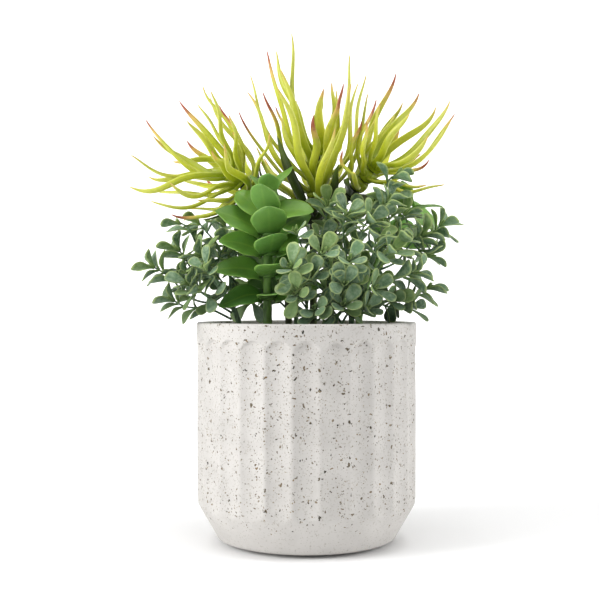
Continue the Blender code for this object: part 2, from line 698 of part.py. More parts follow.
def add_object(name, mesh, material, home, parent=None):
    """An object whose mesh is in world coordinates, moved so that its origin is its parent's."""
    made = bpy.data.objects.new(name, mesh)
    mesh.materials.append(material)
    if parent:
        mesh.transform(Matrix.Translation(-parent.location))
        made.parent = parent
    home.objects.link(made)
    return made


def mesh_from(bm, name):
    bmesh.ops.recalc_face_normals(bm, faces=bm.faces)
    mesh = bpy.data.meshes.new(name)
    bm.to_mesh(mesh)
    bm.free()
    return mesh


def spun(profile, steps):
    """A closed solid turned from (radius, height) points that start and end on the axis."""
    bm = bmesh.new()
    points = [bm.verts.new((radius, 0, height)) for radius, height in profile]
    edges = [bm.edges.new(pair) for pair in zip(points, points[1:])]
    bmesh.ops.spin(
        bm, geom=points + edges, axis=(0, 0, 1), angle=2 * math.pi, steps=steps, use_merge=True
    )
    bmesh.ops.remove_doubles(bm, verts=bm.verts, dist=MERGE)
    return bm


def cylinder(radius, low, high, sides, centre=(0, 0)):
    bm = bmesh.new()
    where = Matrix.Translation((centre[0], centre[1], (low + high) / 2))
    bmesh.ops.create_cone(
        bm, cap_ends=True, segments=sides, radius1=radius, radius2=radius, depth=high - low, matrix=where
    )
    return bm


def pot_profile():
    """(radius, height) of the pot from the middle of its underside, over the rim, to its floor."""
    foot = FOOT_RADIUS + FOOT_ROUND
    out, up = FOOT_ROUND_STEP
    shoulder = POT_RADIUS - (POT_RADIUS - foot) * SHOULDER_SHARE
    flute_top = POT_HEIGHT - RIM_BAND
    return [
        (0, POT_FOOT),
        (FOOT_RADIUS, POT_FOOT),
        (FOOT_RADIUS + FOOT_ROUND * out, POT_FOOT + FOOT_ROUND_RISE * up),
        (foot, POT_FOOT + FOOT_ROUND_RISE),
        (shoulder, TAPER_TOP * SHOULDER_RISE),
        *[(POT_RADIUS - inward, TAPER_TOP + rise) for inward, rise in SIDE_RINGS],
        (POT_RADIUS, flute_top - FLUTE_ARCH),
        (POT_RADIUS, flute_top - FLUTE_ARCH * ARCH_STEP),
        (POT_RADIUS, flute_top),
        (POT_RADIUS, POT_HEIGHT - RIM_ROUND),
        (POT_RADIUS - RIM_ROUND, POT_HEIGHT),
        (MOUTH_RADIUS + RIM_ROUND, POT_HEIGHT),
        (MOUTH_RADIUS, POT_HEIGHT - RIM_ROUND),
        (MOUTH_RADIUS, TAPER_TOP),
        (FOOT_RADIUS, INNER_FLOOR),
        (0, INNER_FLOOR),
    ]


def flute_depth(angle, height):
    """How far a flute cuts in: an arc across its width, under an arched top."""
    across = (angle * FLUTES / (2 * math.pi)) % 1 * 2 - 1
    top = POT_HEIGHT - RIM_BAND - FLUTE_ARCH * across * across
    if height > top - TINY or height < TAPER_TOP + FLUTE_FOOT:
        return 0.0
    return FLUTE_DEPTH * (1 - across * across)


def pot_mesh():
    bm = spun(pot_profile(), FLUTES * FLUTE_STEPS)
    for vert in bm.verts:
        radius = math.hypot(vert.co.x, vert.co.y)
        if radius > POT_RADIUS - TINY:
            cut = flute_depth(math.atan2(vert.co.y, vert.co.x), vert.co.z)
            vert.co.x *= (radius - cut) / radius
            vert.co.y *= (radius - cut) / radius
    return mesh_from(bm, "pot")


def foam_mesh():
    low = INNER_FLOOR + GAP
    wall = MOUTH_RADIUS - FOAM_SLACK
    profile = [
        (0, low),
        (FOOT_RADIUS - FOAM_SLACK, low),
        (wall, TAPER_TOP + FOAM_SLACK),
        (wall, POT_HEIGHT - FOAM_DROP),
        (0, POT_HEIGHT - FOAM_DROP),
    ]
    return mesh_from(spun(profile, ROUND_SIDES), "foam_block")


def drill(piece, bits, cutters):
    """Cuts one hole for each (radius, low, high, centre)."""
    for number, (radius, low, high, centre) in enumerate(bits):
        name = f"{piece.name}_cutter_{number}"
        bit = cylinder(radius, low, high, DRILL_SIDES, centre)
        cutter = bpy.data.objects.new(name, mesh_from(bit, name))
        cutter.hide_render = True
        cutter.display_type = "WIRE"
        cutters.objects.link(cutter)
        cut = piece.modifiers.new(name, "BOOLEAN")
        cut.operation = "DIFFERENCE"
        cut.solver = "EXACT"
        cut.object = cutter


def stake_span():
    top = PIVOT_HEIGHT - STAKE_GAP
    return top - STAKE_LENGTH, top


def build_base(home, cutters, materials):
    add_object("pot", pot_mesh(), materials["pot_stone"], home)
    pad = cylinder(PAD_RADIUS, 0, PAD_THICKNESS, ROUND_SIDES)
    add_object("base_pad", mesh_from(pad, "base_pad"), materials["felt"], home)
    foam = add_object("foam_block", foam_mesh(), materials["foam"], home)
    soil_disc = cylinder(MOUTH_RADIUS - FOAM_SLACK, SOIL_BOTTOM, SOIL_TOP, ROUND_SIDES)
    soil = add_object("soil_cover", mesh_from(soil_disc, "soil_cover"), materials["soil"], home)
    low, top = stake_span()
    feet = [(pick, (pick.pivot.x, pick.pivot.y)) for pick in PICKED.values()]
    wire_hole = STAKE_RADIUS + GAP
    drill(foam, [(wire_hole, low - GAP, SOIL_TOP, foot) for _, foot in feet], cutters)
    drill(soil, [(pick.hole_radius, 0, POT_HEIGHT, foot) for pick, foot in feet], cutters)
    for pick, foot in feet:
        name = f"{pick.name}_stake"
        wire = cylinder(STAKE_RADIUS, low, top, WIRE_SIDES, foot)
        add_object(name, mesh_from(wire, name), materials["stake_steel"], home)


def stem_mesh(pick):
    """The stem as a curve with filled caps, made a mesh."""
    curve = bpy.data.curves.new(pick.name, "CURVE")
    curve.dimensions = "3D"
    curve.bevel_depth = pick.radius
    curve.bevel_resolution = STEM_BEVEL
    curve.use_fill_caps = True
    spline = curve.splines.new("POLY")
    spline.points.add(len(pick.path) - 1)
    for point, spot in zip(spline.points, pick.path):
        point.co = (*spot, 1)
    holder = bpy.data.objects.new(pick.name, curve)
    bpy.context.scene.collection.objects.link(holder)
    graph = bpy.context.evaluated_depsgraph_get()
    mesh = bpy.data.meshes.new_from_object(holder.evaluated_get(graph))
    bpy.data.objects.remove(holder)
    bm = bmesh.new()
    bm.from_mesh(mesh)
    bmesh.ops.remove_doubles(bm, verts=bm.verts, dist=MERGE)
    return mesh_from(bm, f"{pick.name}_stem")


def bridge(bm, near, far):
    """Side faces between two rings of vertices."""
    made = []
    for i in range(len(near)):
        j = (i + 1) % len(near)
        made.append(bm.faces.new((near[i], near[j], far[j], far[i])))
    return made


def matched(corners, ring):
    """The ring's corners, started at the one that lies nearest the face's first corner."""
    shifts = [ring[shift:] + ring[:shift] for shift in range(4)]
    middle = sum((vert.co for vert in corners), Vector()) / 4
    centre = sum(ring, Vector()) / 4
    ways = [(vert.co - middle).normalized() for vert in corners]

    def likeness(order):
        return sum(way.dot((corner - centre).normalized()) for way, corner in zip(ways, order))

    return max(shifts, key=likeness)


def grow_leaf(bm, near, leaf):
    """Lofts a leaf from four corners to a point."""
    for t in LEAF_RINGS[leaf.kind]:
        ring = matched(near, leaf.ring(t))
        far = [bm.verts.new(corner) for corner in ring]
        bridge(bm, near, far)
        near = far
    tip = bm.verts.new(leaf.midrib(1.0))
    for i in range(4):
        bm.faces.new((near[i], near[(i + 1) % 4], tip))


def whorl_mesh(whorl):
    """A sleeve round the stem, or a cap on its end, with a leaf out of each side."""
    bm = bmesh.new()
    half = whorl.axis * whorl.height / 2
    band = BAND_HEIGHT[whorl.kind] / whorl.height
    corner_turn = Matrix.Rotation(-math.pi / whorl.count, 3, whorl.axis)
    bore = whorl.bore / math.cos(math.pi / whorl.count)
    levels = [(whorl.outer, -1), (whorl.outer, -band), (whorl.outer, band), (whorl.outer, 1)]
    if not whorl.is_crown:
        levels = [*levels, (bore, 1), (bore, -1)]
    rings = []
    for radius, end in levels:
        centre = whorl.middle + half * end
        ways = [corner_turn @ whorl.outward(slot) for slot in range(whorl.count)]
        rings.append([bm.verts.new(centre + way * radius) for way in ways])
    stretches = [bridge(bm, near, far) for near, far in zip(rings, rings[1:])]
    sides = stretches[1]
    if whorl.is_crown:
        bm.faces.new(rings[0][::-1])
        bm.faces.new(rings[-1])
    else:
        bridge(bm, rings[-1], rings[0])
    for slot, leaf in whorl.leaves.items():
        corners = list(sides[slot].verts)
        bm.faces.remove(sides[slot])
        grow_leaf(bm, corners, leaf)
    return mesh_from(bm, whorl.name)


def grow_twig(bm, near, twig):
    """Rings along a twig; returns the side faces of each stretch."""
    stretches = []
    for ring in twig.rings[1:]:
        far = [bm.verts.new(corner) for corner in matched(near, ring)]
        stretches.append(bridge(bm, near, far))
        near = far
    bm.faces.new(near)
    return stretches


def face_normal(face):
    face.normal_update()
    return face.normal


def sprig_mesh(sprig):
    bm = bmesh.new()
    first = [bm.verts.new(corner) for corner in sprig.twigs[0].rings[0]]
    bm.faces.new(first[::-1])
    grown = [grow_twig(bm, first, sprig.twigs[0])]
    for index, (node, side) in sprig.forks.items():
        near = opened_side(bm, grown[0], sprig.twigs[0], node, side)
        grown.append(grow_twig(bm, near, sprig.twigs[index]))
    for (index, node, side), leaf in sprig.leaves.items():
        near = opened_side(bm, grown[index], sprig.twigs[index], node, side)
        grow_leaf(bm, near, leaf)
    return mesh_from(bm, sprig.name)


def opened_side(bm, stretches, twig, node, side):
    """Takes away one side of a leaf node and returns its corners, for something to grow from."""
    _, way = twig.side_of(node, side)
    faces = stretches[2 * node + 1]
    face = max(faces, key=lambda found: face_normal(found).dot(way))
    faces.remove(face)
    corners = list(face.verts)
    bm.faces.remove(face)
    return corners


def build_picks(home, materials):
    whorls, sprigs = plan_foliage()
    empties = {}
    for pick in PICKED.values():
        empty = bpy.data.objects.new(f"{pick.name}_bend", None)
        empty.location = pick.pivot
        home.objects.link(empty)
        empties[pick.name] = empty
        stem_material = "frost_stem" if pick.name.endswith("spray") else "dark_stem"
        if pick.name.endswith("jade"):
            stem_material = "jade_leaf"
        add_object(f"{pick.name}_stem", stem_mesh(pick), materials[stem_material], home, empty)
    for whorl in whorls:
        material = materials[KIND_MATERIALS[whorl.kind]]
        add_object(whorl.name, whorl_mesh(whorl), material, home, empties[whorl.pick.name])
    for sprig in sprigs:
        carrier = empties[sprig.pick.name]
        add_object(sprig.name, sprig_mesh(sprig), materials["frost_leaf"], home, carrier)


def main():
    clear_scene()
    home = new_collection("succulent_arrangement")
    cutters = new_collection("cutters", for_cutters=True)
    materials = {name: new_material(name) for name in MATERIALS}
    build_base(home, cutters, materials)
    build_picks(home, materials)


main()
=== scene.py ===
"""Looks of the potted faux succulent arrangement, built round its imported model.

The foliage's plan is the one the model was made from, so each leaf here lies where its solid is.
"""

import json
import math
import random

import bmesh
import bpy
import numpy as np
from mathutils import Matrix, Vector
from mathutils.bvhtree import BVHTree


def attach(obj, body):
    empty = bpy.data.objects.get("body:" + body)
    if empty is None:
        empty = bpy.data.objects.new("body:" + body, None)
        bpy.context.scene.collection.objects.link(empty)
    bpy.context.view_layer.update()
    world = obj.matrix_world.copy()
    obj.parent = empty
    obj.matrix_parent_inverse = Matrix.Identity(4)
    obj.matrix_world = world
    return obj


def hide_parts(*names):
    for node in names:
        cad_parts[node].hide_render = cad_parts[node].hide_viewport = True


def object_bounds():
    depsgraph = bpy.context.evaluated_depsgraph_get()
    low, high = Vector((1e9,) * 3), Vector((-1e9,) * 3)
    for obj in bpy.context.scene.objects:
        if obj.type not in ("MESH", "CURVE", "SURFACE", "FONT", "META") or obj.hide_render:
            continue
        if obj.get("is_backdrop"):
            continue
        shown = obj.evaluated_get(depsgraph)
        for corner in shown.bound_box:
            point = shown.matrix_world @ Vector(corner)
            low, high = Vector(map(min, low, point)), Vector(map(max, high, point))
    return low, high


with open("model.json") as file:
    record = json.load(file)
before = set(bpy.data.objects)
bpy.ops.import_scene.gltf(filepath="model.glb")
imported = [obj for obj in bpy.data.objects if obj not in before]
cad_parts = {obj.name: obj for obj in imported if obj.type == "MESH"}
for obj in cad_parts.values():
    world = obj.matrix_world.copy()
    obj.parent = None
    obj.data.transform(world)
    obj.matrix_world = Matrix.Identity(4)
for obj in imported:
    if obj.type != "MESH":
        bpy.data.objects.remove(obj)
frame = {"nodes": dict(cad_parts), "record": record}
cad_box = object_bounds()

MM = 0.001
UP = Vector((0, 0, 1))
GAP = 0.0003  # between pieces that touch

# Pot
POT_RADIUS = 0.0635  # over the ridges and at the rim
POT_HEIGHT = 0.126  # table to rim
POT_WALL = 0.0062
POT_FLOOR = 0.0075
FOOT_RADIUS = 0.0460  # flat underside
FOOT_ROUND = 0.0060  # across the rounded edge under the taper
FOOT_ROUND_RISE = 0.0027
TAPER_TOP = 0.0240  # height where the sides become upright
SHOULDER_RISE = 0.8  # of that height, where the taper starts to turn upright
SHOULDER_SHARE = 0.24  # of the taper's width, which it still has left there
RIM_ROUND = 0.0012
FLUTES = 26
FLUTE_DEPTH = 0.0019
RIM_BAND = 0.0085  # plain band above the flutes
FLUTE_ARCH = 0.0050  # rise of each flute's arched top

# What fills and carries the pot
PAD_THICKNESS = 0.0012
FOAM_SLACK = 0.0005  # round the foam and the soil cover
FOAM_DROP = 0.0180  # rim to foam
SOIL_DROP = 0.0070  # rim to soil
PIVOT_DEPTH = 0.0040  # soil top to the point where a stem bends

# Foliage. Its points are in millimetres from the pot's axis and above the rim, for this height.
DRAWN_HEIGHT = 0.1695
PLANT_HEIGHT = 0.1695  # rim to the tallest tip
CLEAR = 0.0004  # kept round each leaf and twig
WHORL_GAP = 0.0006  # between whorls on a stem, and round it
TWIG_RADIUS = 0.0008
SOCKET_GAP = 0.00196  # stem's side to the middle of a twig's slanting end
NODE_LENGTH = 0.0018  # stretch of twig that carries a pair of leaves
FOOT_SHARE = 0.3  # of a leaf, where it may crowd the other leaves of its own piece
FREE_SHARE = 0.03  # of a leaf, from its foot, which may touch what carries it
MIDRIB_PULL = 0.36  # of a leaf's length, by which its curve follows its first and last directions
POSES = (0.0, 0.5, 1.0)  # shares of a pick's bend at which its foliage keeps clear

PLANT_SCALE = PLANT_HEIGHT / DRAWN_HEIGHT
SOIL_TOP = POT_HEIGHT - SOIL_DROP
SOIL_BOTTOM = POT_HEIGHT - FOAM_DROP + GAP
STEM_LEAN = 12  # degrees that every hole in the soil leaves room for, with a gap round the stem
PIVOT_HEIGHT = SOIL_TOP - PIVOT_DEPTH
MOUTH_RADIUS = POT_RADIUS - POT_WALL
POT_FOOT = PAD_THICKNESS + GAP
INNER_FLOOR = POT_FOOT + POT_FLOOR

# How leaves and twigs vary
RISE_SPREAD = 8  # degrees that a whorl's leaves differ in rise, either way
LENGTH_SPREAD = (0.80, 1.08)  # of a whorl's leaf length
SPIKE_SWAY = 0.3  # how far a spike's tip may turn aside
HUB_SHARE = 0.9  # of a whorl's radius, which leaves of other pieces keep clear of
TWIG_PULLS = (0.4, 0.25)  # of a twig's span, by which its curve follows its first and last directions
TWIG_TAPER = (1.15, 0.80)  # of its radius, at its foot and its end
TWIG_LIFT = 0.7  # how far a twig's end turns up
SPRIG_RISE = (12, 34)  # degrees, of the leaves along a twig
ROSETTE_RISE = (38, 52)  # degrees, of the leaves at its end
SPRIG_SIZES = (0.78, 1.12)  # of a sprig's leaf length
ROSETTE_SIZE = 0.9
SPRIG_CURVE = (0.35, 0.25)  # how far a sprig's leaf rises at its foot and hangs at its tip

# Each kind of leaf: (share of length, share of width, share of thickness) from foot to tip
OUTLINES = {
    "spike": ((0, 0.80, 1), (0.33, 1, 1), (0.70, 0.74, 0.75), (1, 0.08, 0.15)),
    "strap": ((0, 0.70, 1), (0.40, 1, 1), (0.75, 0.70, 0.80), (1, 0.08, 0.30)),
    "jade": ((0, 0.58, 1), (0.22, 0.90, 1), (0.48, 1, 1), (0.78, 0.72, 0.80), (1, 0.06, 0.40)),
    "frost": ((0, 0.25, 1), (0.60, 1, 1), (0.85, 0.85, 0.80), (1, 0.35, 0.60)),
}
CORNERS = ((-1, -1), (1, -1), (1, 1), (-1, 1))
JADE_LEAN = 0.75  # how far jade leaves turn their faces to the front
START_RISE = {"spike": 0.65, "strap": 0.8, "jade": 1.25}  # of a whorl's rise, where its leaves start
CURL = {"spike": (0.15, 0.8), "strap": (0.1, 0.4), "jade": (-0.35, -0.1)}  # how far a tip turns up
THICKNESS = {"spike": 0.0025, "strap": 0.0016, "jade": 0.0017, "frost": 0.0011}

# Picks: foot on the soil, the way it bends, how far in degrees, stem radius, stem points
PICKS = {
    "center_spike": ((4, 5), 90, 8, 2.3, ((4, 5, 30), (4, 5, 56), (6, 5, 97))),
    "left_spike": ((-10, 6), 180, 8, 2.1,
                   ((-12, 6, 30), (-16, 5, 52), (-26, 3, 69), (-43, 0, 84))),
    "right_spike": ((15, 12), 0, 8, 2.1,
                    ((14, 14, 30), (16, 14, 52), (24, 10, 73), (38, 2, 88))),
    "front_jade": ((-22, -20), 270, 5, 2.8,
                   ((-22, -21, 12), (-21.6, -23.4, 44), (-21.2, -24.5, 69))),
    "back_jade": ((30, 24), 50, 8, 1.9, ((36, 25, 20), (48, 23, 48), (57, 20, 64))),
    "right_spray": ((24, -14), 330, 6, 1.6, ((27, -18, 10), (34, -22, 28), (40, -22, 44))),
    "left_spray": ((-36, -6), 200, 6, 1.6, ((-41, -7, 6), (-50, -7, 20), (-58, -4, 34))),
    "back_spray": ((-6, 36), 95, 8, 1.6, ((-6, 40, 12), (-4, 43, 28), (0, 44, 42))),
}

# Whorls: pick, kind, share of the stem's last stretch, leaves, rise in degrees, length, width,
# and the tips that are placed one by one
WHORLS = {
    "center_collar": ("center_spike", "strap", 0.10, 5, 40, 34, 7.5,
                      ((-17, -15, 106), (18, -23, 89))),
    "center_tier_1": ("center_spike", "spike", 0.30, 9, 20, 42, 4.8,
                      ((-29, -14, 100), (-34, -12, 86), (27, -30, 107), (12, -44, 98))),
    "center_tier_2": ("center_spike", "spike", 0.48, 9, 34, 46, 4.9,
                      ((-40, 6, 124), (-36, -14, 131), (37, 18, 137), (-17, -34, 131), (25, -26, 134))),
    "center_tier_3": ("center_spike", "spike", 0.66, 9, 46, 48, 4.9,
                      ((-33, 0, 144), (-26, 16, 137), (35, 2, 145), (31, 14, 142))),
    "center_tier_4": ("center_spike", "spike", 0.84, 8, 58, 48, 5.0,
                      ((-23, -6, 157), (-15, -16, 144), (25, -4, 155), (18, 16, 138))),
    "center_crown": ("center_spike", "spike", 1, 6, 72, 42, 5.2,
                     ((-9, 4, 169.5), (-13, 12, 161), (9, 14, 133))),
    "left_tier_1": ("left_spike", "spike", 0.50, 10, 24, 48, 4.5,
                    ((-50, -12, 124), (-57, 10, 133), (-68, 8, 66), (-78, -8, 62))),
    "left_tier_2": ("left_spike", "spike", 0.83, 10, 40, 48, 4.5,
                    ((-60, -4, 137), (-72, 22, 109), (-89, -14, 69), (-75, 6, 130))),
    "left_crown": ("left_spike", "spike", 1, 9, 58, 46, 4.5,
                   ((-92, -12, 116), (-90, 4, 109), (-100, -16, 95), (-102.5, -8, 78), (-95, 10, 84),
                    (-79, 24, 98))),
    "right_tier_1": ("right_spike", "spike", 0.50, 10, 24, 50, 4.6,
                     ((34, -6, 135), (36, -16, 132), (45, 4, 151))),
    "right_tier_2": ("right_spike", "spike", 0.84, 10, 40, 48, 4.6,
                     ((49, -8, 146), (57, 12, 130), (57, 22, 124), (71, -4, 94), (68, 12, 99))),
    "right_crown": ("right_spike", "spike", 1, 9, 58, 46, 4.6,
                    ((60, 0, 140), (75, -2, 125), (82, -12, 127), (85.5, 6, 124), (83, -8, 116))),
    "left_collar": ("left_spike", "strap", 0.17, 5, 30, 34, 6.5, ((-40, -10, 109), (-62, -10, 66))),
    "right_collar": ("right_spike", "strap", 0.16, 5, 30, 36, 7.5, ((52, -16, 72), (46, -4, 70))),
    "front_jade_rosette": ("front_jade", "jade", 1, 3, 56, 19, 12, ((-21, -37, 82), (-32, -18, 83))),
    "front_jade_tier_5": ("front_jade", "jade", 0.66, 4, 30, 26, 18, ((4, -28, 62), (-40, -14, 74))),
    "front_jade_tier_4": ("front_jade", "jade", 0.26, 4, 26, 30, 20, ((-51, -27, 62), (-20, -46, 66))),
    "front_jade_tier_3": ("front_jade", "jade", -0.14, 4, 24, 30, 19, ((-49, -28, 45), (-18, -50, 48))),
    "front_jade_tier_2": ("front_jade", "jade", -0.52, 4, 22, 30, 19, ((-52, -26, 29), (-16, -50, 32))),
    "front_jade_tier_1": ("front_jade", "jade", -0.92, 4, 20, 28, 18, ((-49, -27, 9), (-15, -46, 16))),
    "back_jade_rosette": ("back_jade", "jade", 1, 3, 40, 26, 15,
                          ((81, 14, 68), (57, 18, 84), (85, 26, 52))),
    "back_jade_tier": ("back_jade", "jade", 0.10, 4, 24, 26, 15, ((74, 12, 44),)),
}
SPIKE_WHORL_HEIGHT = 0.0066
DRAWN_PITCH = 0.0072  # from whorl to whorl, for which the spike stems' last stretches are drawn
JADE_WHORL_HEIGHT = 0.0040
CROWN_HEIGHT = 0.0060
WHORL_WALL = 0.0012  # round the stem
WHORL_WALL_PER_LEAF = 0.00012

# Sprigs: spray, share of its stem, and the end of each twig. The first twig carries the others.
SPRIGS = {
    "right_sprig_1": ("right_spray", 0.16, ((-12, -46, 30), (-6, -50, 16), (2, -44, 26))),
    "right_sprig_2": ("right_spray", 0.34, ((-6, -38, 50), (8, -48, 38), (8, -26, 46))),
    "right_sprig_3": ("right_spray", 0.22, ((19, -48, 10), (4, -50, 8), (32, -42, 8))),
    "right_sprig_4": ("right_spray", 0.50, ((22, -50, 34), (36, -46, 19), (20, -50, 21))),
    "right_sprig_5": ("right_spray", 0.72, ((22, -34, 60), (12, -20, 66), (34, -36, 56))),
    "right_sprig_6": ("right_spray", 0.97, ((46, -26, 69), (54, -14, 82), (38, -12, 66))),
    "right_sprig_7": ("right_spray", 0.84, ((45, -42, 39), (60, -32, 28), (38, -38, 46), (52, -34, 46))),
    "right_sprig_8": ("right_spray", 0.90, ((66, -18, 50), (77, -10, 56), (56, -16, 62), (70, -14, 38))),
    "right_sprig_9": ("right_spray", 0.42, ((68, -22, 20), (58, -24, 9), (46, -30, 13))),
    "left_sprig_1": ("left_spray", 0.62, ((-88, -12, 32), (-74, -6, 42), (-72, -8, 26))),
    "left_sprig_2": ("left_spray", 0.97, ((-63, 4, 58), (-74, 6, 58), (-48, 6, 57), (-38, 2, 48))),
    "left_sprig_3": ("left_spray", 0.80, ((-60, -20, 38), (-68, -18, 28), (-46, -4, 44))),
    "left_sprig_4": ("left_spray", 0.36, ((-76, -18, 13), (-66, -26, 22))),
    "left_sprig_5": ("left_spray", 0.46, ((-62, -28, 18), (-56, -34, 30))),
    "left_sprig_6": ("left_spray", 0.66, ((-46, 16, 46), (-34, 14, 34), (-56, 20, 34), (-48, 12, 20))),
    "back_sprig_1": ("back_spray", 0.30, ((-34, 46, 22), (-24, 48, 40), (-44, 32, 34), (-38, 30, 12))),
    "back_sprig_2": ("back_spray", 0.55, ((22, 56, 24), (34, 46, 44), (44, 42, 26), (14, 52, 36))),
    "back_sprig_3": ("back_spray", 0.97, ((-10, 46, 62), (12, 48, 58), (-28, 38, 54), (26, 40, 56))),
}
SPRIG_LEAF = 0.0148
SPRIG_LEAF_WIDTH = 0.0086
NODE_SPACING = 0.0072
TIP_NODES = (0.0012, 0.0042, 0.0074)  # from a twig's end back to its closest leaf nodes
BARE_SHARE = 0.28  # of a twig, next to what carries it

KIND_MATERIALS = {"spike": "spike_leaf", "strap": "dark_strap", "jade": "jade_leaf"}


# ---------------------------------------------------------------- where the foliage goes


def placed(point):
    """A point of the drawing, in metres on the pot."""
    return Vector(point) * MM * PLANT_SCALE + UP * POT_HEIGHT


def heading(degrees):
    return Vector((math.cos(math.radians(degrees)), math.sin(math.radians(degrees)), 0))


def smooth_path(points, steps):
    """Points on a Catmull-Rom curve through the given ones."""
    ends = [points[0] * 2 - points[1], *points, points[-1] * 2 - points[-2]]
    path = []
    for before, here, there, after in zip(ends, ends[1:], ends[2:], ends[3:]):
        for step in range(steps):
            t = step / steps
            path.append(
                0.5
                * (
                    2 * here
                    + (there - before) * t
                    + (2 * before - 5 * here + 4 * there - after) * t * t
                    + (3 * here - before - 3 * there + after) * t * t * t
                )
            )
    return [*path, points[-1]]


def square_rings(path, radii):
    """Four-cornered rings along a path, turned as little as possible from one to the next."""
    side = None
    rings = []
    for index, point in enumerate(path):
        ahead = path[min(index + 1, len(path) - 1)] - path[max(index - 1, 0)]
        ahead.normalize()
        side = ahead.orthogonal() if side is None else side
        side = (side - ahead * side.dot(ahead)).normalized()
        across = ahead.cross(side)
        rings.append([point + (side * s + across * n) * radii[index] for s, n in CORNERS])
    return rings


def ring_shape(rings):
    """Corners and faces of a closed shape through four-cornered rings."""
    corners = [corner for ring in rings for corner in ring]
    faces = [(3, 2, 1, 0)]
    for start in range(0, len(corners) - 4, 4):
        for i in range(4):
            j = (i + 1) % 4
            faces.append((start + i, start + j, start + j + 4, start + i + 4))
    last = len(corners) - 4
    faces.append((last, last + 1, last + 2, last + 3))
    return corners, faces


class Pick:
    """A wired stem, with the bend it makes at the soil."""

    def __init__(self, name):
        foot, way, self.reach, radius, points = PICKS[name]
        self.name = name
        self.radius = radius * MM
        self.pivot = Vector((foot[0] * MM, foot[1] * MM, PIVOT_HEIGHT))
        self.axis = UP.cross(heading(way))
        self.points = [self.pivot, *map(placed, points)]
        if name.endswith("spike"):
            self.points[-2] = self.stack_foot(points)
        self.path = smooth_path(self.points, 4)[: 4 * (len(self.points) - 2)] + self.points[-2:]
        self.hole_radius = max(self.room(math.radians(STEM_LEAN)) + GAP * 2, self.room(self.lean()))

    def lean(self):
        return (self.path[1] - self.path[0]).angle(UP)

    def room(self, lean):
        """How far from the pick's axis the stem reaches at the soil's top, leaning and bent."""
        return self.radius + PIVOT_DEPTH * math.tan(math.radians(self.reach) + lean)

    def stack_foot(self, points):
        """Where the last, straight stretch starts: it is as long as the whorls stacked on it need."""
        drawn = (Vector(points[-1]) - Vector(points[-2])).length * MM
        length = drawn * (SPIKE_WHORL_HEIGHT + WHORL_GAP) / DRAWN_PITCH
        return self.points[-1] - (self.points[-1] - self.points[-2]).normalized() * length

    def bent(self, point, share):
        turn = Matrix.Rotation(math.radians(self.reach * share), 3, self.axis)
        return self.pivot + turn @ (point - self.pivot)

    def head(self, share):
        """A point on the last, straight stretch of the stem; below 0 it is on the stretch before."""
        last = self.points[-1] - self.points[-2]
        if share >= 0:
            return self.points[-2] + last * share, last.normalized()
        before = self.points[-2] - self.points[-3]
        return self.points[-2] + before * share, before.normalized()

    def along(self, share):
        """A point on the whole stem and the direction there."""
        spot = share * (len(self.path) - 1)
        index = min(int(spot), len(self.path) - 2)
        run = self.path[index + 1] - self.path[index]
        return self.path[index] + run * (spot - index), run.normalized()


class Space:
    """Remembers every leaf and twig placed so far, so that the next one can keep clear of them."""

    def __init__(self):
        self.trees = []
        self.keys = []
        self.lows = np.zeros((0, 3))
        self.highs = np.zeros((0, 3))

    def views(self, shape, pick):
        corners, faces = shape
        for pose, share in enumerate(POSES):
            moved = [pick.bent(corner, share) for corner in corners]
            cloud = np.array(moved)
            yield pose, BVHTree.FromPolygons(moved, faces), cloud.min(axis=0), cloud.max(axis=0)

    def add(self, shape, pick, piece):
        for pose, tree, low, high in self.views(shape, pick):
            self.trees.append(tree)
            self.keys.append((pick.name, piece, pose))
            self.lows = np.vstack([self.lows, low])
            self.highs = np.vstack([self.highs, high])

    def blocked(self, shape, pick, family=()):
        """True if the shape meets the pot, or anything placed except the pieces of its family."""
        for pose, tree, low, high in self.views(shape, pick):
            near = np.all((self.lows < high) & (self.highs > low), axis=1)
            for index in np.flatnonzero(near):
                name, piece, other_pose = self.keys[index]
                if name == pick.name and (pose != 0 or other_pose != 0):
                    continue
                if piece not in family and tree.overlap(self.trees[index]):
                    return True
        return any(meets_pot(pick.bent(corner, share)) for corner in shape[0] for share in POSES)


def meets_pot(point):
    radius = math.hypot(point.x, point.y)
    if point.z > POT_HEIGHT + CLEAR or radius > POT_RADIUS + CLEAR:
        return False
    return radius > MOUTH_RADIUS - CLEAR or point.z < SOIL_TOP + CLEAR


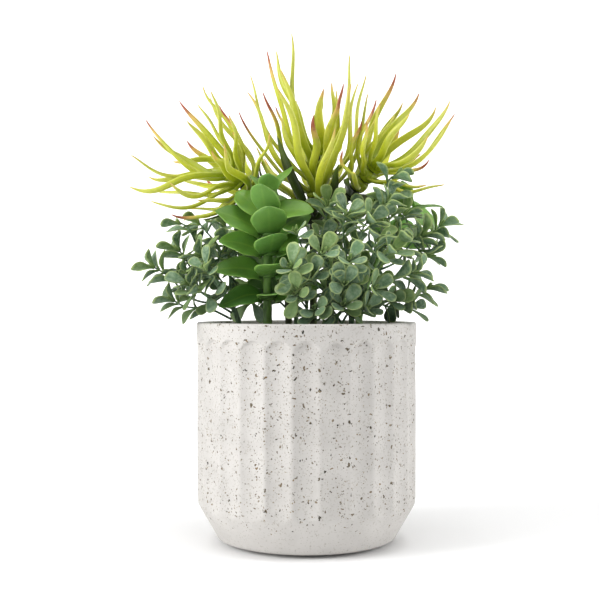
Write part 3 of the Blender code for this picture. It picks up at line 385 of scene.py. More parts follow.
class Leaf:
    """One leaf: a curved midrib, with a width and a thickness along it."""

    def __init__(self, kind, base, start, tip, end, upward, width):
        self.kind = kind
        self.base = base
        self.start = start.normalized()
        self.tip = tip
        self.end = end.normalized()
        self.upward = upward
        self.width = width
        self.thickness = THICKNESS[kind]
        self.side = upward.cross(self.start).normalized()

    def midrib(self, t):
        reach = (self.tip - self.base).length * MIDRIB_PULL
        first = self.base + self.start * reach
        second = self.tip - self.end * reach
        back = 1 - t
        return (
            self.base * back**3
            + first * (3 * back * back * t)
            + second * (3 * back * t * t)
            + self.tip * t**3
        )

    def ring(self, t, spare=0.0):
        """The leaf's four corners at a share of its length, held off by a spare distance."""
        ahead = (self.midrib(min(t + 0.02, 1.0)) - self.midrib(max(t - 0.02, 0.0))).normalized()
        side = (self.side - ahead * self.side.dot(ahead)).normalized()
        across = ahead.cross(side)
        shares, widths, depths = zip(*OUTLINES[self.kind])
        half = 0.5 * self.width * float(np.interp(t, shares, widths)) + spare
        deep = 0.5 * self.thickness * float(np.interp(t, shares, depths)) + spare
        centre = self.midrib(t)
        return [centre + side * half * s + across * deep * n for s, n in CORNERS]

    def shape(self, first, last):
        return ring_shape([self.ring(first + (last - first) * i / 5, CLEAR) for i in range(6)])

    def turned(self, sway, lift, length):
        """The same leaf swung sideways and up by degrees, and shortened."""
        swing = Matrix.Rotation(math.radians(sway), 3, self.upward)
        swing = swing @ Matrix.Rotation(math.radians(-lift), 3, self.side)
        half = Matrix.Rotation(math.radians(sway * 0.5), 3, self.upward)
        tip = self.base + swing @ (self.tip - self.base) * length
        end = swing @ self.end
        return Leaf(self.kind, self.base, half @ self.start, tip, end, self.upward, self.width)


SWINGS = (
    (0, 0), (6, 0), (-6, 0), (0, 6), (0, -6), (12, 4), (-12, 4), (10, -8), (-10, -8), (0, 14),
    (0, -14), (20, 0), (-20, 0), (16, 14), (-16, 14), (30, -6), (-30, -6),
)
TURNS = [(sway, lift, length) for length in (1.0, 0.88, 0.74, 0.6) for sway, lift in SWINGS]


class Piece:
    """A whorl or a sprig, with the leaves that found room on it."""

    def __init__(self, name, pick):
        self.name = name
        self.pick = pick
        self.leaves = {}

    def settle(self, space, slot, leaf, carrier):
        """Puts a leaf in a slot, turned aside as little as it takes to keep clear."""
        feet = f"{self.name} feet"
        for turn in TURNS:
            tried = leaf.turned(*turn)
            if space.blocked(tried.shape(FREE_SHARE, 1.0), self.pick, (carrier, feet)):
                continue
            self.leaves[slot] = tried
            space.add(tried.shape(0.0, FOOT_SHARE), self.pick, feet)
            space.add(tried.shape(FOOT_SHARE, 1.0), self.pick, self.name)
            return


def whorl_height(kind):
    return JADE_WHORL_HEIGHT if kind == "jade" else SPIKE_WHORL_HEIGHT


class Whorl(Piece):
    """Leaves round one place on a stem, or on its end."""

    def __init__(self, name):
        pick_name, self.kind, self.share, self.count, self.rise, length, width, tips = WHORLS[name]
        super().__init__(name, PICKED[pick_name])
        self.length = length * MM * PLANT_SCALE
        self.width = width * MM * PLANT_SCALE
        self.tips = [placed(tip) for tip in tips]
        self.middle, self.axis = self.pick.head(self.share)
        self.is_crown = self.share == 1
        self.height = CROWN_HEIGHT if self.is_crown else whorl_height(self.kind)
        if self.is_crown:
            self.middle += self.axis * (self.height / 2 + WHORL_GAP)
        self.bore = self.pick.radius + WHORL_GAP
        self.outer = self.bore + WHORL_WALL + self.count * WHORL_WALL_PER_LEAF
        self.across = self.axis.cross(heading(37)).normalized()
        self.random = random.Random(name)
        self.phase = self.random.uniform(0, 2 * math.pi / self.count)
        if self.kind == "jade":
            self.phase = self.angle_to(self.tips[0])

    def angle_to(self, tip):
        away = tip - self.middle
        return math.atan2(away.dot(self.axis.cross(self.across)), away.dot(self.across))

    def outward(self, slot):
        angle = self.phase + 2 * math.pi * slot / self.count
        return Matrix.Rotation(angle, 3, self.axis) @ self.across

    def face_centre(self, slot):
        return self.middle + self.outward(slot) * self.outer * math.cos(math.pi / self.count)

    def hub_shape(self):
        half = self.axis * self.height / 2
        inside = self.outer * HUB_SHARE
        return ring_shape(square_rings([self.middle - half, self.middle + half], [inside] * 2))

    def leaf_to(self, slot, tip, curl):
        outward = self.outward(slot)
        base = self.face_centre(slot)
        rise = math.radians(self.rise * START_RISE[self.kind])
        start = outward * math.cos(rise) + self.axis * math.sin(rise)
        run = (tip - base).normalized()
        aside = self.random.uniform(-SPIKE_SWAY, SPIKE_SWAY) * (self.kind == "spike")
        sway = self.axis.cross(outward) * aside
        leans = self.kind == "jade" and not self.is_crown
        lean = Vector((0, -JADE_LEAN, 0)) if leans else Vector()
        upward = (self.axis + lean).normalized()
        return Leaf(self.kind, base, start, tip, run + UP * curl + sway, upward, self.width)

    def free_slot_towards(self, tip):
        open_slots = [slot for slot in range(self.count) if slot not in self.leaves]
        return max(open_slots, key=lambda slot: (tip - self.middle).dot(self.outward(slot)))

    def place_tips(self, space):
        for tip in self.tips:
            slot = self.free_slot_towards(tip)
            curl = self.random.uniform(*CURL[self.kind])
            self.settle(space, slot, self.leaf_to(slot, tip, curl), self.pick.name)

    def fill(self, space):
        for slot in range(self.count):
            if slot in self.leaves:
                continue
            spread = self.random.uniform(-RISE_SPREAD, RISE_SPREAD)
            rise = math.radians(self.rise + spread)
            run = self.outward(slot) * math.cos(rise) + self.axis * math.sin(rise)
            tip = self.face_centre(slot) + run * self.length * self.random.uniform(*LENGTH_SPREAD)
            curl = self.random.uniform(*CURL[self.kind])
            self.settle(space, slot, self.leaf_to(slot, tip, curl), self.pick.name)


class Twig:
    """One arm of a sprig: a path with short stretches that carry pairs of leaves."""

    def __init__(self, start, way, end, face_way):
        span = (end - start).length
        first = start + way * span * TWIG_PULLS[0]
        second = end - face_way * span * TWIG_PULLS[1]
        path = smooth_path([start, first, second, end], 5)
        lengths = [0.0]
        for a, b in zip(path, path[1:]):
            lengths.append(lengths[-1] + (b - a).length)
        self.total = lengths[-1]
        self.cloud = np.array(path)
        self.lengths = np.array(lengths)
        self.stops = self.leaf_stops()
        marks = [0.0]
        for stop in self.stops:
            marks += [stop - NODE_LENGTH / 2, stop + NODE_LENGTH / 2]
        self.marks = [*marks, self.total]
        self.path = [self.spot(mark) for mark in self.marks]
        taper = np.interp(self.marks, (0, self.total), TWIG_TAPER)
        self.rings = square_rings(self.path, [TWIG_RADIUS * float(share) for share in taper])

    def leaf_stops(self):
        """Places of the leaf pairs: a tight rosette at the end, then wider steps back."""
        stops = [self.total - back for back in TIP_NODES]
        while stops[-1] - NODE_SPACING > BARE_SHARE * self.total:
            stops.append(stops[-1] - NODE_SPACING)
        return [stop for stop in reversed(stops) if stop > NODE_LENGTH]

    def spot(self, length):
        return Vector([float(np.interp(length, self.lengths, self.cloud[:, k])) for k in range(3)])

    def shape(self):
        return ring_shape(square_rings(self.path, [TWIG_RADIUS + CLEAR] * len(self.path)))

    def side_of(self, node, side):
        """The middle of one side of a leaf node, and the way it faces."""
        near, far = self.rings[2 * node + 1], self.rings[2 * node + 2]
        corners = [near[side], near[(side + 1) % 4], far[(side + 1) % 4], far[side]]
        centre = sum(corners, Vector()) / 4
        middle = (sum(near, Vector()) + sum(far, Vector())) / 8
        return centre, (centre - middle).normalized()


class Sprig(Piece):
    """A forked twig: its first arm carries the others, one on each of its first leaf nodes."""

    def __init__(self, name):
        spray, self.share, ends = SPRIGS[name]
        super().__init__(name, PICKED[spray])
        self.ends = [placed(end) for end in ends]
        self.random = random.Random(name)
        self.twigs = []
        self.forks = {}

    def branch(self, space):
        for index, end in enumerate(self.ends):
            start, way = self.fork(index, end) if self.twigs else self.socket(end)
            twig = self.clear_twig(space, start, way, end)
            self.twigs.append(twig)
            space.add(twig.shape(), self.pick, self.name)

    def socket(self, end):
        """Where the sprig meets its spray's stem, and the way it starts."""
        spot, run = self.pick.along(self.share)
        away = end - spot
        away = (away - run * away.dot(run)).normalized()
        clear = self.pick.radius + SOCKET_GAP
        return spot + away * clear, (away + run).normalized()

    def fork(self, index, end):
        """The side of one of the first arm's nodes that looks most towards the end."""
        node = index - 1
        sides = [(side, *self.twigs[0].side_of(node, side)) for side in range(4)]
        side, centre, way = max(sides, key=lambda found: found[2].dot(end - found[1]))
        self.forks[index] = (node, side)
        return centre, way

    def clear_twig(self, space, start, way, end):
        """An arm towards the end, swung aside as little as it takes to keep clear."""
        tries = []
        for sway, lift, length in TURNS:
            run = end - start
            swing = Matrix.Rotation(math.radians(sway), 3, UP)
            swing = swing @ Matrix.Rotation(math.radians(-lift), 3, UP.cross(run).normalized())
            goal = start + swing @ run * length
            outward = Vector((goal.x, goal.y, 0)).normalized()
            facing = (outward + UP * TWIG_LIFT + (goal - start).normalized()).normalized()
            tries.append(Twig(start, way, goal, facing))
            if not space.blocked(tries[-1].shape(), self.pick, (self.pick.name, self.name)):
                return tries[-1]
        return tries[0]

    def slots(self):
        """(arm, node, side) of every leaf, tip first."""
        for index, twig in enumerate(self.twigs):
            for node in reversed(range(len(twig.stops))):
                is_last = node == len(twig.stops) - 1
                for side in range(4) if is_last else (0, 2) if (node + index) % 2 else (1, 3):
                    if index or (node, side) not in self.forks.values():
                        yield index, node, side

    def fill(self, space):
        for slot in self.slots():
            index, node, side = slot
            twig = self.twigs[index]
            base, outward = twig.side_of(node, side)
            ahead = (twig.path[2 * node + 2] - twig.path[2 * node + 1]).normalized()
            last = node == len(twig.stops) - 1
            rise = math.radians(self.random.uniform(*(ROSETTE_RISE if last else SPRIG_RISE)))
            run = outward * math.cos(rise) + ahead * math.sin(rise)
            size = self.random.uniform(*SPRIG_SIZES) * (ROSETTE_SIZE if last else 1)
            tip = base + run * SPRIG_LEAF * size
            width = SPRIG_LEAF_WIDTH * size
            lift, droop = SPRIG_CURVE
            leaf = Leaf("frost", base, run + ahead * lift, tip, run - ahead * droop, ahead, width)
            self.settle(space, slot, leaf, self.name)


def plan_foliage():
    """Every whorl and sprig, with its leaves settled clear of the rest."""
    space = Space()
    for pick in PICKED.values():
        radii = [pick.radius + CLEAR] * len(pick.path)
        space.add(ring_shape(square_rings(pick.path, radii)), pick, pick.name)
    whorls = [Whorl(name) for name in WHORLS]
    sprigs = [Sprig(name) for name in SPRIGS]
    for whorl in whorls:
        space.add(whorl.hub_shape(), whorl.pick, f"{whorl.name} feet")
    for whorl in whorls:
        whorl.place_tips(space)
    for sprig in sprigs:
        sprig.branch(space)
    for whorl in whorls:
        whorl.fill(space)
    for sprig in sprigs:
        sprig.fill(space)
    return whorls, sprigs


PICKED = {name: Pick(name) for name in PICKS}


# ---------------------------------------------------------------- what the camera sees it with

CAMERA_PLACE = (-0.0038, -0.640, 0.1387)
CAMERA_LENS = 66.2
SENSOR = 36.0
FLOOR_REACH = 4.0  # to each side and to the front
FLOOR_DEPTH = 2.0  # back to where it starts to rise
FLOOR_BEND = 1.2
BACKDROP_TOP = 5.0
LIGHTS = {  # where, how wide and high, how strong in watts, and what it points at
    "left_softbox": ((-1.25, -0.55, 0.6), (0.6, 0.9), 17, (0, 0, 0.15)),
    "right_softbox": ((1.3, -0.15, 0.5), (0.5, 0.9), 9, (0, 0, 0.15)),
    "top_softbox": ((0, -0.2, 1.8), (1.2, 1.2), 17, (0, 0, 0.15)),
    "back_softbox": ((0, 1.8, 1.6), (3.0, 1.5), 52, (0, 3.0, 0.6)),
}


def srgb(red, green, blue):
    """A colour given as screen values, made linear."""
    return tuple(
        value / 255 / 12.92 if value < 10.3 else ((value / 255 + 0.055) / 1.055) ** 2.4
        for value in (red, green, blue)
    )


class Paint:
    """A material with its nodes; the shader's plain values are set on its own sockets."""

    def __init__(self, name, roughness, **sockets):
        self.material = bpy.data.materials.new(name)
        self.material.use_nodes = True
        self.tree = self.material.node_tree
        self.shader = self.tree.nodes["Principled BSDF"]
        self.shader.inputs["Roughness"].default_value = roughness
        for socket, value in sockets.items():
            self.shader.inputs[socket.replace("_", " ")].default_value = value
        self.where = self.node("ShaderNodeTexCoord").outputs["Object"]

    def node(self, kind, **settings):
        made = self.tree.nodes.new(kind)
        for key, value in settings.items():
            setattr(made, key, value)
        return made

    def feed(self, socket, value):
        if isinstance(value, bpy.types.NodeSocket):
            self.tree.links.new(value, socket)
        elif isinstance(value, tuple) and len(value) == 3 and socket.type == "RGBA":
            socket.default_value = (*value, 1)
        else:
            socket.default_value = value

    def mark(self, name):
        return self.node("ShaderNodeAttribute", attribute_name=name).outputs["Fac"]

    def maths(self, operation, first, second=0.0, third=0.0):
        made = self.node("ShaderNodeMath", operation=operation)
        for socket, value in zip(made.inputs, (first, second, third)):
            self.feed(socket, value)
        return made.outputs["Value"]

    def fade(self, value, low, high):
        """0 below low, 1 above high, and smooth between."""
        made = self.node("ShaderNodeMapRange", interpolation_type="SMOOTHSTEP")
        for name, given in (("Value", value), ("From Min", low), ("From Max", high)):
            self.feed(made.inputs[name], given)
        return made.outputs["Result"]

    def stretched(self, stretch):
        made = self.node("ShaderNodeMapping")
        self.feed(made.inputs["Vector"], self.where)
        made.inputs["Scale"].default_value = stretch
        return made.outputs["Vector"]

    def noise(self, scale, detail=2.0, vector=None, roughness=0.5):
        made = self.node("ShaderNodeTexNoise")
        self.feed(made.inputs["Vector"], vector or self.where)
        made.inputs["Scale"].default_value = scale
        made.inputs["Detail"].default_value = detail
        made.inputs["Roughness"].default_value = roughness
        return made.outputs["Fac"]

    def cells(self, scale, vector=None):
        made = self.node("ShaderNodeTexVoronoi")
        self.feed(made.inputs["Vector"], vector or self.where)
        made.inputs["Scale"].default_value = scale
        return made.outputs["Distance"], made.outputs["Color"]

    def mix(self, share, first, second):
        made = self.node("ShaderNodeMix", data_type="RGBA")
        self.feed(made.inputs["Factor"], share)
        self.feed(made.inputs["A"], first)
        self.feed(made.inputs["B"], second)
        return next(socket for socket in made.outputs if socket.type == "RGBA")

    def colour(self, value):
        self.feed(self.shader.inputs["Base Color"], value)

    def rough(self, value):
        self.feed(self.shader.inputs["Roughness"], value)

    def bump(self, height, distance, strength=1.0):
        made = self.node("ShaderNodeBump")
        made.inputs["Distance"].default_value = distance
        made.inputs["Strength"].default_value = strength
        self.feed(made.inputs["Height"], height)
        self.feed(self.shader.inputs["Normal"], made.outputs["Normal"])


def stone_paint():
    """Cast stone: an off-white body with brown, grey and tan chips of several sizes, and fine pits."""
    paint = Paint("pot_stone_look", 0.72, Specular_IOR_Level=0.3)
    warp = paint.node("ShaderNodeTexNoise")
    paint.feed(warp.inputs["Vector"], paint.where)
    warp.inputs["Scale"].default_value = 520.0
    bent = paint.node("ShaderNodeVectorMath", operation="MULTIPLY_ADD")
    paint.feed(bent.inputs[0], warp.outputs["Color"])
    bent.inputs[1].default_value = (0.0026, 0.0026, 0.0026)
    paint.feed(bent.inputs[2], paint.where)
    vector = bent.outputs["Vector"]
    height = paint.node("ShaderNodeSeparateXYZ")
    paint.feed(height.inputs["Vector"], paint.where)
    above_foot = paint.fade(height.outputs["Z"], 0.010, 0.030)
    cloud = paint.fade(paint.noise(60.0, 4.0), 0.35, 0.65)
    body = paint.mix(cloud, srgb(196, 193, 189), srgb(203, 200, 196))
    body = paint.mix(paint.fade(paint.noise(900.0, 2.0), 0.58, 0.72), body, srgb(178, 174, 167))
    pits = 0.0
    for scale, stretch, radius, kept, tones in (
        (250.0, (1.0, 1.0, 0.65), 0.22, 0.35, (srgb(52, 50, 44), srgb(118, 104, 82))),
        (300.0, (0.65, 0.65, 1.3), 0.22, 0.35, (srgb(64, 60, 52), srgb(132, 110, 78))),
        (470.0, (1.0, 1.0, 0.8), 0.27, 0.10, (srgb(84, 80, 72), srgb(142, 126, 100))),
        (800.0, (1.0, 1.0, 1.0), 0.30, 0.05, (srgb(118, 112, 104), srgb(160, 146, 122))),
    ):
        spread = paint.node("ShaderNodeVectorMath", operation="MULTIPLY")
        paint.feed(spread.inputs[0], vector)
        spread.inputs[1].default_value = stretch
        distance, colour = paint.cells(scale, spread.outputs["Vector"])
        parts = paint.node("ShaderNodeSeparateColor")
        paint.feed(parts.inputs["Color"], colour)
        reach = paint.maths("MULTIPLY_ADD", parts.outputs["Red"], radius * 0.7, radius * 0.3)
        outside = paint.fade(distance, paint.maths("MULTIPLY", reach, 0.75), reach)
        spot = paint.maths("SUBTRACT", 1.0, outside)
        share = paint.maths("MULTIPLY", above_foot, 1.0 - kept)
        there = paint.maths("GREATER_THAN", paint.maths("ADD", parts.outputs["Green"], share), 1.0)
        spot = paint.maths("MULTIPLY", spot, there)
        body = paint.mix(spot, body, paint.mix(parts.outputs["Blue"], *tones))
        pits = paint.maths("ADD", spot, pits)
    paint.colour(body)
    paint.rough(paint.fade(paint.noise(300.0, 3.0), -0.9, 1.4))
    grain = paint.maths("MULTIPLY", paint.noise(1500.0, 3.0), 0.35)
    paint.bump(paint.maths("SUBTRACT", grain, paint.maths("MULTIPLY", pits, 0.8)), 0.00012, 0.6)
    return paint.material


def spike_paint():
    """Soft vinyl: green at the foot, yellow-green along the blade, and a brick-red tip on most leaves."""
    paint = Paint("spike_leaf_look", 0.42, Subsurface_Weight=0.12, Subsurface_Scale=0.002)
    paint.shader.inputs["Subsurface Radius"].default_value = (0.9, 1.0, 0.2)
    along, across, tone = paint.mark("along"), paint.mark("across"), paint.mark("tone")
    blade = paint.mix(tone, srgb(176, 186, 30), srgb(204, 206, 52))
    foot = paint.mix(tone, srgb(140, 158, 30), srgb(172, 184, 36))
    body = paint.mix(paint.fade(along, 0.02, 0.42), foot, blade)
    body = paint.mix(paint.fade(along, 0.45, 0.9), body, srgb(200, 202, 84))
    edge = paint.fade(paint.maths("ABSOLUTE", across), 0.70, 1.0)
    body = paint.mix(paint.maths("MULTIPLY", edge, 0.35), body, srgb(226, 228, 130))
    mottle = paint.noise(420.0, 3.0)
    body = paint.mix(paint.maths("MULTIPLY", paint.fade(mottle, 0.45, 0.75), 0.35), body, srgb(150, 170, 36))
    start = paint.maths("MULTIPLY_ADD", paint.maths("POWER", paint.mark("blush"), 3.0), -0.30, 1.02)
    start = paint.maths("ADD", start, paint.maths("MULTIPLY", paint.maths("SUBTRACT", mottle, 0.5), 0.12))
    warm = paint.fade(along, paint.maths("SUBTRACT", start, 0.16), start)
    body = paint.mix(paint.maths("MULTIPLY", warm, 0.75), body, srgb(214, 168, 96))
    red = paint.fade(along, paint.maths("SUBTRACT", start, 0.03), paint.maths("ADD", start, 0.10))
    body = paint.mix(paint.maths("MULTIPLY", red, 0.92), body, srgb(160, 74, 56))
    paint.colour(body)
    paint.rough(paint.fade(paint.noise(500.0, 2.0), -0.6, 1.9))
    paint.bump(paint.noise(900.0, 3.0), 0.00012, 0.35)
    return paint.material


def strap_paint():
    """Dark, waxy straps with faint lengthwise streaks and a paler keel."""
    paint = Paint("dark_strap_look", 0.36)
    along, across = paint.mark("along"), paint.mark("across")
    lanes = paint.node("ShaderNodeCombineXYZ")
    paint.feed(lanes.inputs["X"], paint.maths("MULTIPLY", along, 1.2))
    paint.feed(lanes.inputs["Y"], paint.maths("MULTIPLY", across, 9.0))
    paint.feed(lanes.inputs["Z"], paint.maths("MULTIPLY", paint.mark("tone"), 30.0))
    streak = paint.noise(1.6, 3.0, lanes.outputs["Vector"])
    body = paint.mix(paint.fade(streak, 0.35, 0.7), srgb(34, 46, 14), srgb(66, 84, 24))
    body = paint.mix(paint.fade(along, 0.55, 1.0), body, srgb(88, 108, 34))
    paint.colour(body)
    paint.bump(streak, 0.0002, 0.5)
    return paint.material


def jade_paint():
    """Moulded jade leaves: fresh green, paler at the margin and foot, with a soft mottle."""
    paint = Paint("jade_leaf_look", 0.40, Subsurface_Weight=0.10, Subsurface_Scale=0.002)
    paint.shader.inputs["Subsurface Radius"].default_value = (0.5, 1.0, 0.2)
    along, across, tone, upper = (paint.mark(name) for name in ("along", "across", "tone", "upper"))
    body = paint.mix(tone, srgb(64, 116, 40), srgb(122, 168, 62))
    cloud = paint.noise(130.0, 3.0)
    body = paint.mix(paint.maths("MULTIPLY", paint.fade(cloud, 0.4, 0.7), 0.45), body, srgb(92, 142, 66))
    edge = paint.fade(paint.maths("ABSOLUTE", across), 0.84, 1.0)
    body = paint.mix(paint.maths("MULTIPLY", edge, 0.55), body, srgb(150, 188, 84))
    rib = paint.maths("SUBTRACT", 1.0, paint.fade(paint.maths("ABSOLUTE", across), 0.02, 0.14))
    body = paint.mix(paint.maths("MULTIPLY", rib, 0.30), body, srgb(136, 176, 76))
    foot = paint.maths("SUBTRACT", 1.0, paint.fade(along, 0.0, 0.22))
    body = paint.mix(paint.maths("MULTIPLY", foot, 0.6), body, srgb(58, 92, 34))
    under = paint.maths("SUBTRACT", 1.0, paint.fade(upper, 0.3, 0.7))
    body = paint.mix(paint.maths("MULTIPLY", under, 0.35), body, srgb(112, 150, 84))
    paint.colour(body)
    paint.rough(paint.fade(paint.noise(260.0, 2.0), -0.7, 1.9))
    fine = paint.maths("ADD", paint.noise(700.0, 3.0), paint.maths("MULTIPLY", cloud, 0.8))
    paint.bump(fine, 0.00018, 0.4)
    return paint.material


def frost_paint():
    """Small leaves under a powdery bloom: grey-green middles, yellow-green margins and feet, and painted shade
    that darkens the leaves low in the bush, near the rim.
    """
    paint = Paint("frost_leaf_look", 0.66, Sheen_Weight=0.18, Sheen_Roughness=0.5)
    paint.shader.inputs["Sheen Tint"].default_value = (0.75, 0.9, 0.75, 1)
    along, across, tone = paint.mark("along"), paint.mark("across"), paint.mark("tone")
    body = paint.mix(tone, srgb(60, 94, 64), srgb(98, 134, 92))
    bloom = paint.fade(paint.noise(380.0, 4.0, roughness=0.65), 0.36, 0.66)
    body = paint.mix(paint.maths("MULTIPLY", bloom, 0.65), body, srgb(152, 174, 142))
    young = paint.fade(paint.mark("blush"), 0.55, 0.95)
    body = paint.mix(paint.maths("MULTIPLY", young, 0.6), body, srgb(134, 164, 70))
    rib = paint.maths("SUBTRACT", 1.0, paint.fade(paint.maths("ABSOLUTE", across), 0.03, 0.20))
    body = paint.mix(paint.maths("MULTIPLY", rib, 0.30), body, srgb(92, 126, 78))
    edge = paint.fade(paint.maths("ABSOLUTE", across), 0.66, 0.98)
    rim = paint.maths("MAXIMUM", edge, paint.fade(along, 0.86, 0.99))
    body = paint.mix(paint.maths("MULTIPLY", rim, 0.72), body, srgb(176, 194, 118))
    foot = paint.maths("SUBTRACT", 1.0, paint.fade(along, 0.05, 0.40))
    body = paint.mix(paint.maths("MULTIPLY", foot, 0.6), body, srgb(122, 152, 76))
    # Painted shade: leaves low in the bush, near the rim, are darkened towards deep green, standing in for the
    # shadow there.
    depth = paint.node("ShaderNodeSeparateXYZ")
    paint.feed(depth.inputs["Vector"], paint.where)
    low = paint.maths("SUBTRACT", 1.0, paint.fade(depth.outputs["Z"], POT_HEIGHT - 0.005, POT_HEIGHT + 0.045))
    body = paint.mix(paint.maths("MULTIPLY", low, 0.55), body, srgb(38, 66, 42))
    paint.colour(body)
    paint.bump(paint.maths("ADD", bloom, paint.noise(1500.0, 2.0)), 0.00010, 0.5)
    return paint.material


def twig_paint(name, dark, light, scale=600.0):
    """Thin moulded stems, streaked along their length."""
    paint = Paint(name, 0.55)
    streak = paint.noise(scale, 4.0, paint.stretched((1.0, 1.0, 0.25)))
    body = paint.mix(paint.fade(streak, 0.35, 0.68), dark, light)
    paint.colour(paint.mix(paint.maths("MULTIPLY", paint.noise(90.0), 0.4), body, light))
    paint.rough(paint.fade(streak, -0.8, 1.6))
    paint.bump(streak, 0.00025, 0.6)
    return paint.material


def soil_paint():
    paint = Paint("soil_look", 0.95)
    grain, colour = paint.cells(520.0)
    parts = paint.node("ShaderNodeSeparateColor")
    paint.feed(parts.inputs["Color"], colour)
    body = paint.mix(parts.outputs["Red"], srgb(38, 30, 22), srgb(74, 58, 40))
    paint.colour(paint.mix(paint.fade(paint.noise(200.0, 4.0), 0.5, 0.8), body, srgb(24, 22, 16)))
    paint.bump(grain, 0.0008, 0.8)
    return paint.material


def foam_paint():
    paint = Paint("foam_look", 0.92)
    grain, _ = paint.cells(900.0)
    paint.colour(paint.mix(paint.fade(grain, 0.1, 0.5), srgb(52, 72, 42), srgb(92, 116, 74)))
    paint.bump(grain, 0.0004, 0.8)
    return paint.material


def felt_paint():
    paint = Paint("felt_look", 0.95, Sheen_Weight=0.3)
    fibre = paint.noise(900.0, 5.0, paint.stretched((1.0, 0.3, 1.0)), 0.7)
    paint.colour(paint.mix(paint.fade(fibre, 0.35, 0.7), srgb(46, 46, 45), srgb(92, 91, 88)))
    paint.bump(fibre, 0.0005, 0.8)
    return paint.material


def steel_paint():
    paint = Paint("steel_look", 0.35, Metallic=1.0)
    brushed = paint.noise(1800.0, 3.0, paint.stretched((1.0, 1.0, 0.05)))
    paint.colour(paint.mix(brushed, srgb(150, 150, 148), srgb(198, 198, 196)))
    paint.rough(paint.fade(brushed, -0.7, 1.8))
    paint.bump(brushed, 0.00005, 0.5)
    return paint.material


# ---------------------------------------------------------------- shapes

MARKS = ("along", "across", "upper", "tone", "blush")
TONE = MARKS.index("tone")


class Shape:
    """Points, faces and marks of one piece, gathered from several closed lofts."""

    def __init__(self):
        self.points = []
        self.marks = []
        self.faces = []
        self.slots = []
        self.count = 0

    def add(self, points, faces, marks, slot=0):
        self.points.append(points)
        self.marks.append(marks)
        self.faces += [tuple(index + self.count for index in face) for face in faces]
        self.slots += [slot] * len(faces)
        self.count += len(points)

    def piece(self, name, materials):
        mesh = bpy.data.meshes.new(name)
        mesh.from_pydata(np.concatenate(self.points).tolist(), [], self.faces)
        marks = np.concatenate(self.marks)
        for column, mark in enumerate(MARKS):
            made = mesh.attributes.new(mark, "FLOAT", "POINT")
            made.data.foreach_set("value", marks[:, column].astype(np.float32))
        for material in materials:
            mesh.materials.append(material)
        mesh.polygons.foreach_set("material_index", self.slots)
        mesh.polygons.foreach_set("use_smooth", [True] * len(self.faces))
        mesh.update()
        made = bpy.data.objects.new(name, mesh)
        bpy.context.scene.collection.objects.link(made)
        return made


def tube_faces(rows, columns):
    """Faces of a tube of rings, closed by a flat foot and, past the last ring, by one point."""
    faces = [tuple(range(columns))[::-1]]
    for row in range(rows - 1):
        for column in range(columns):
            beside = (column + 1) % columns
            low, high = row * columns, (row + 1) * columns
            faces.append((low + column, low + beside, high + beside, high + column))
    last = (rows - 1) * columns
    faces += [(last + c, last + (c + 1) % columns, rows * columns) for c in range(columns)]
    return faces


def units(vectors):
    return vectors / np.linalg.norm(vectors, axis=1, keepdims=True)


class Look:
    """How one kind of leaf is finished, in shares of its plan's sizes.

    The outline and the body are (stops, shares) of its width and thickness. The cup raises its margins,
    the groove sinks its midrib, the wave bends its whole length, in metres, and the ruffle its margins.
    A blunt above 1 puts more rings near the tip.
    """

    def __init__(self, rings, sides, outline, body, cup, groove, wave, ruffle, blunt):
        self.stops = 1 - (1 - np.linspace(0, 1, rings)[:-1]) ** blunt
        self.sides = sides
        self.outline = outline
        self.body = body
        self.cup = cup
        self.groove = groove
        self.wave = wave
        self.ruffle = ruffle
        self.faces = tube_faces(rings - 1, sides)


LOOKS = {
    "spike": Look(
        20, 10, ((0, 0.10, 0.33, 0.60, 0.80, 0.93, 1), (0.90, 0.86, 1.02, 0.92, 0.64, 0.30, 0.04)),
        ((0, 0.5, 0.85, 1), (1.0, 0.95, 0.6, 0.25)), 0.06, 0.45, 0.0017, 0.05, 1.15,
    ),
    "strap": Look(
        16, 10, ((0, 0.15, 0.40, 0.70, 0.90, 1), (0.85, 0.85, 1.0, 0.78, 0.36, 0.05)),
        ((0, 0.5, 1), (1.0, 0.8, 0.4)), 0.22, 0.5, 0.0006, 0.06, 1.2,
    ),
    "jade": Look(
        20, 16, ((0, 0.10, 0.24, 0.42, 0.60, 0.76, 0.90, 1), (0.60, 0.70, 0.92, 1.04, 0.98, 0.78, 0.42, 0.05)),
        ((0, 0.3, 0.9, 1), (1.1, 0.85, 0.6, 0.35)), 0.16, 0.35, 0.0, 0.05, 1.3,
    ),
    "frost": Look(
        12, 12, ((0, 0.15, 0.35, 0.55, 0.72, 0.86, 0.95, 1), (0.24, 0.26, 0.56, 0.88, 1.02, 0.92, 0.64, 0.12)),
        ((0, 0.2, 0.9, 1), (1.0, 0.9, 0.8, 0.5)), 0.20, 0.30, 0.0, 0.03, 1.6,
    ),
    "bud": Look(
        7, 8, ((0, 0.3, 0.65, 0.9, 1), (0.5, 0.9, 1.0, 0.5, 0.1)),
        ((0, 0.9, 1), (1.0, 0.8, 0.4)), 0.25, 0.3, 0.0, 0.0, 1.4,
    ),
}


WAVES = (0.7, 1.3)  # bends along a leaf
SHAPED_FROM = 0.2  # share of a leaf from which its section is fully shaped
GROOVE_WIDTH = 0.35  # of the half width
CUP_LEVEL = 0.35  # keeps a cupped leaf about level with its plan
RUFFLES = 9.0  # radians along a leaf
RUFFLE_SHIFT = 2.0  # radians between its two margins


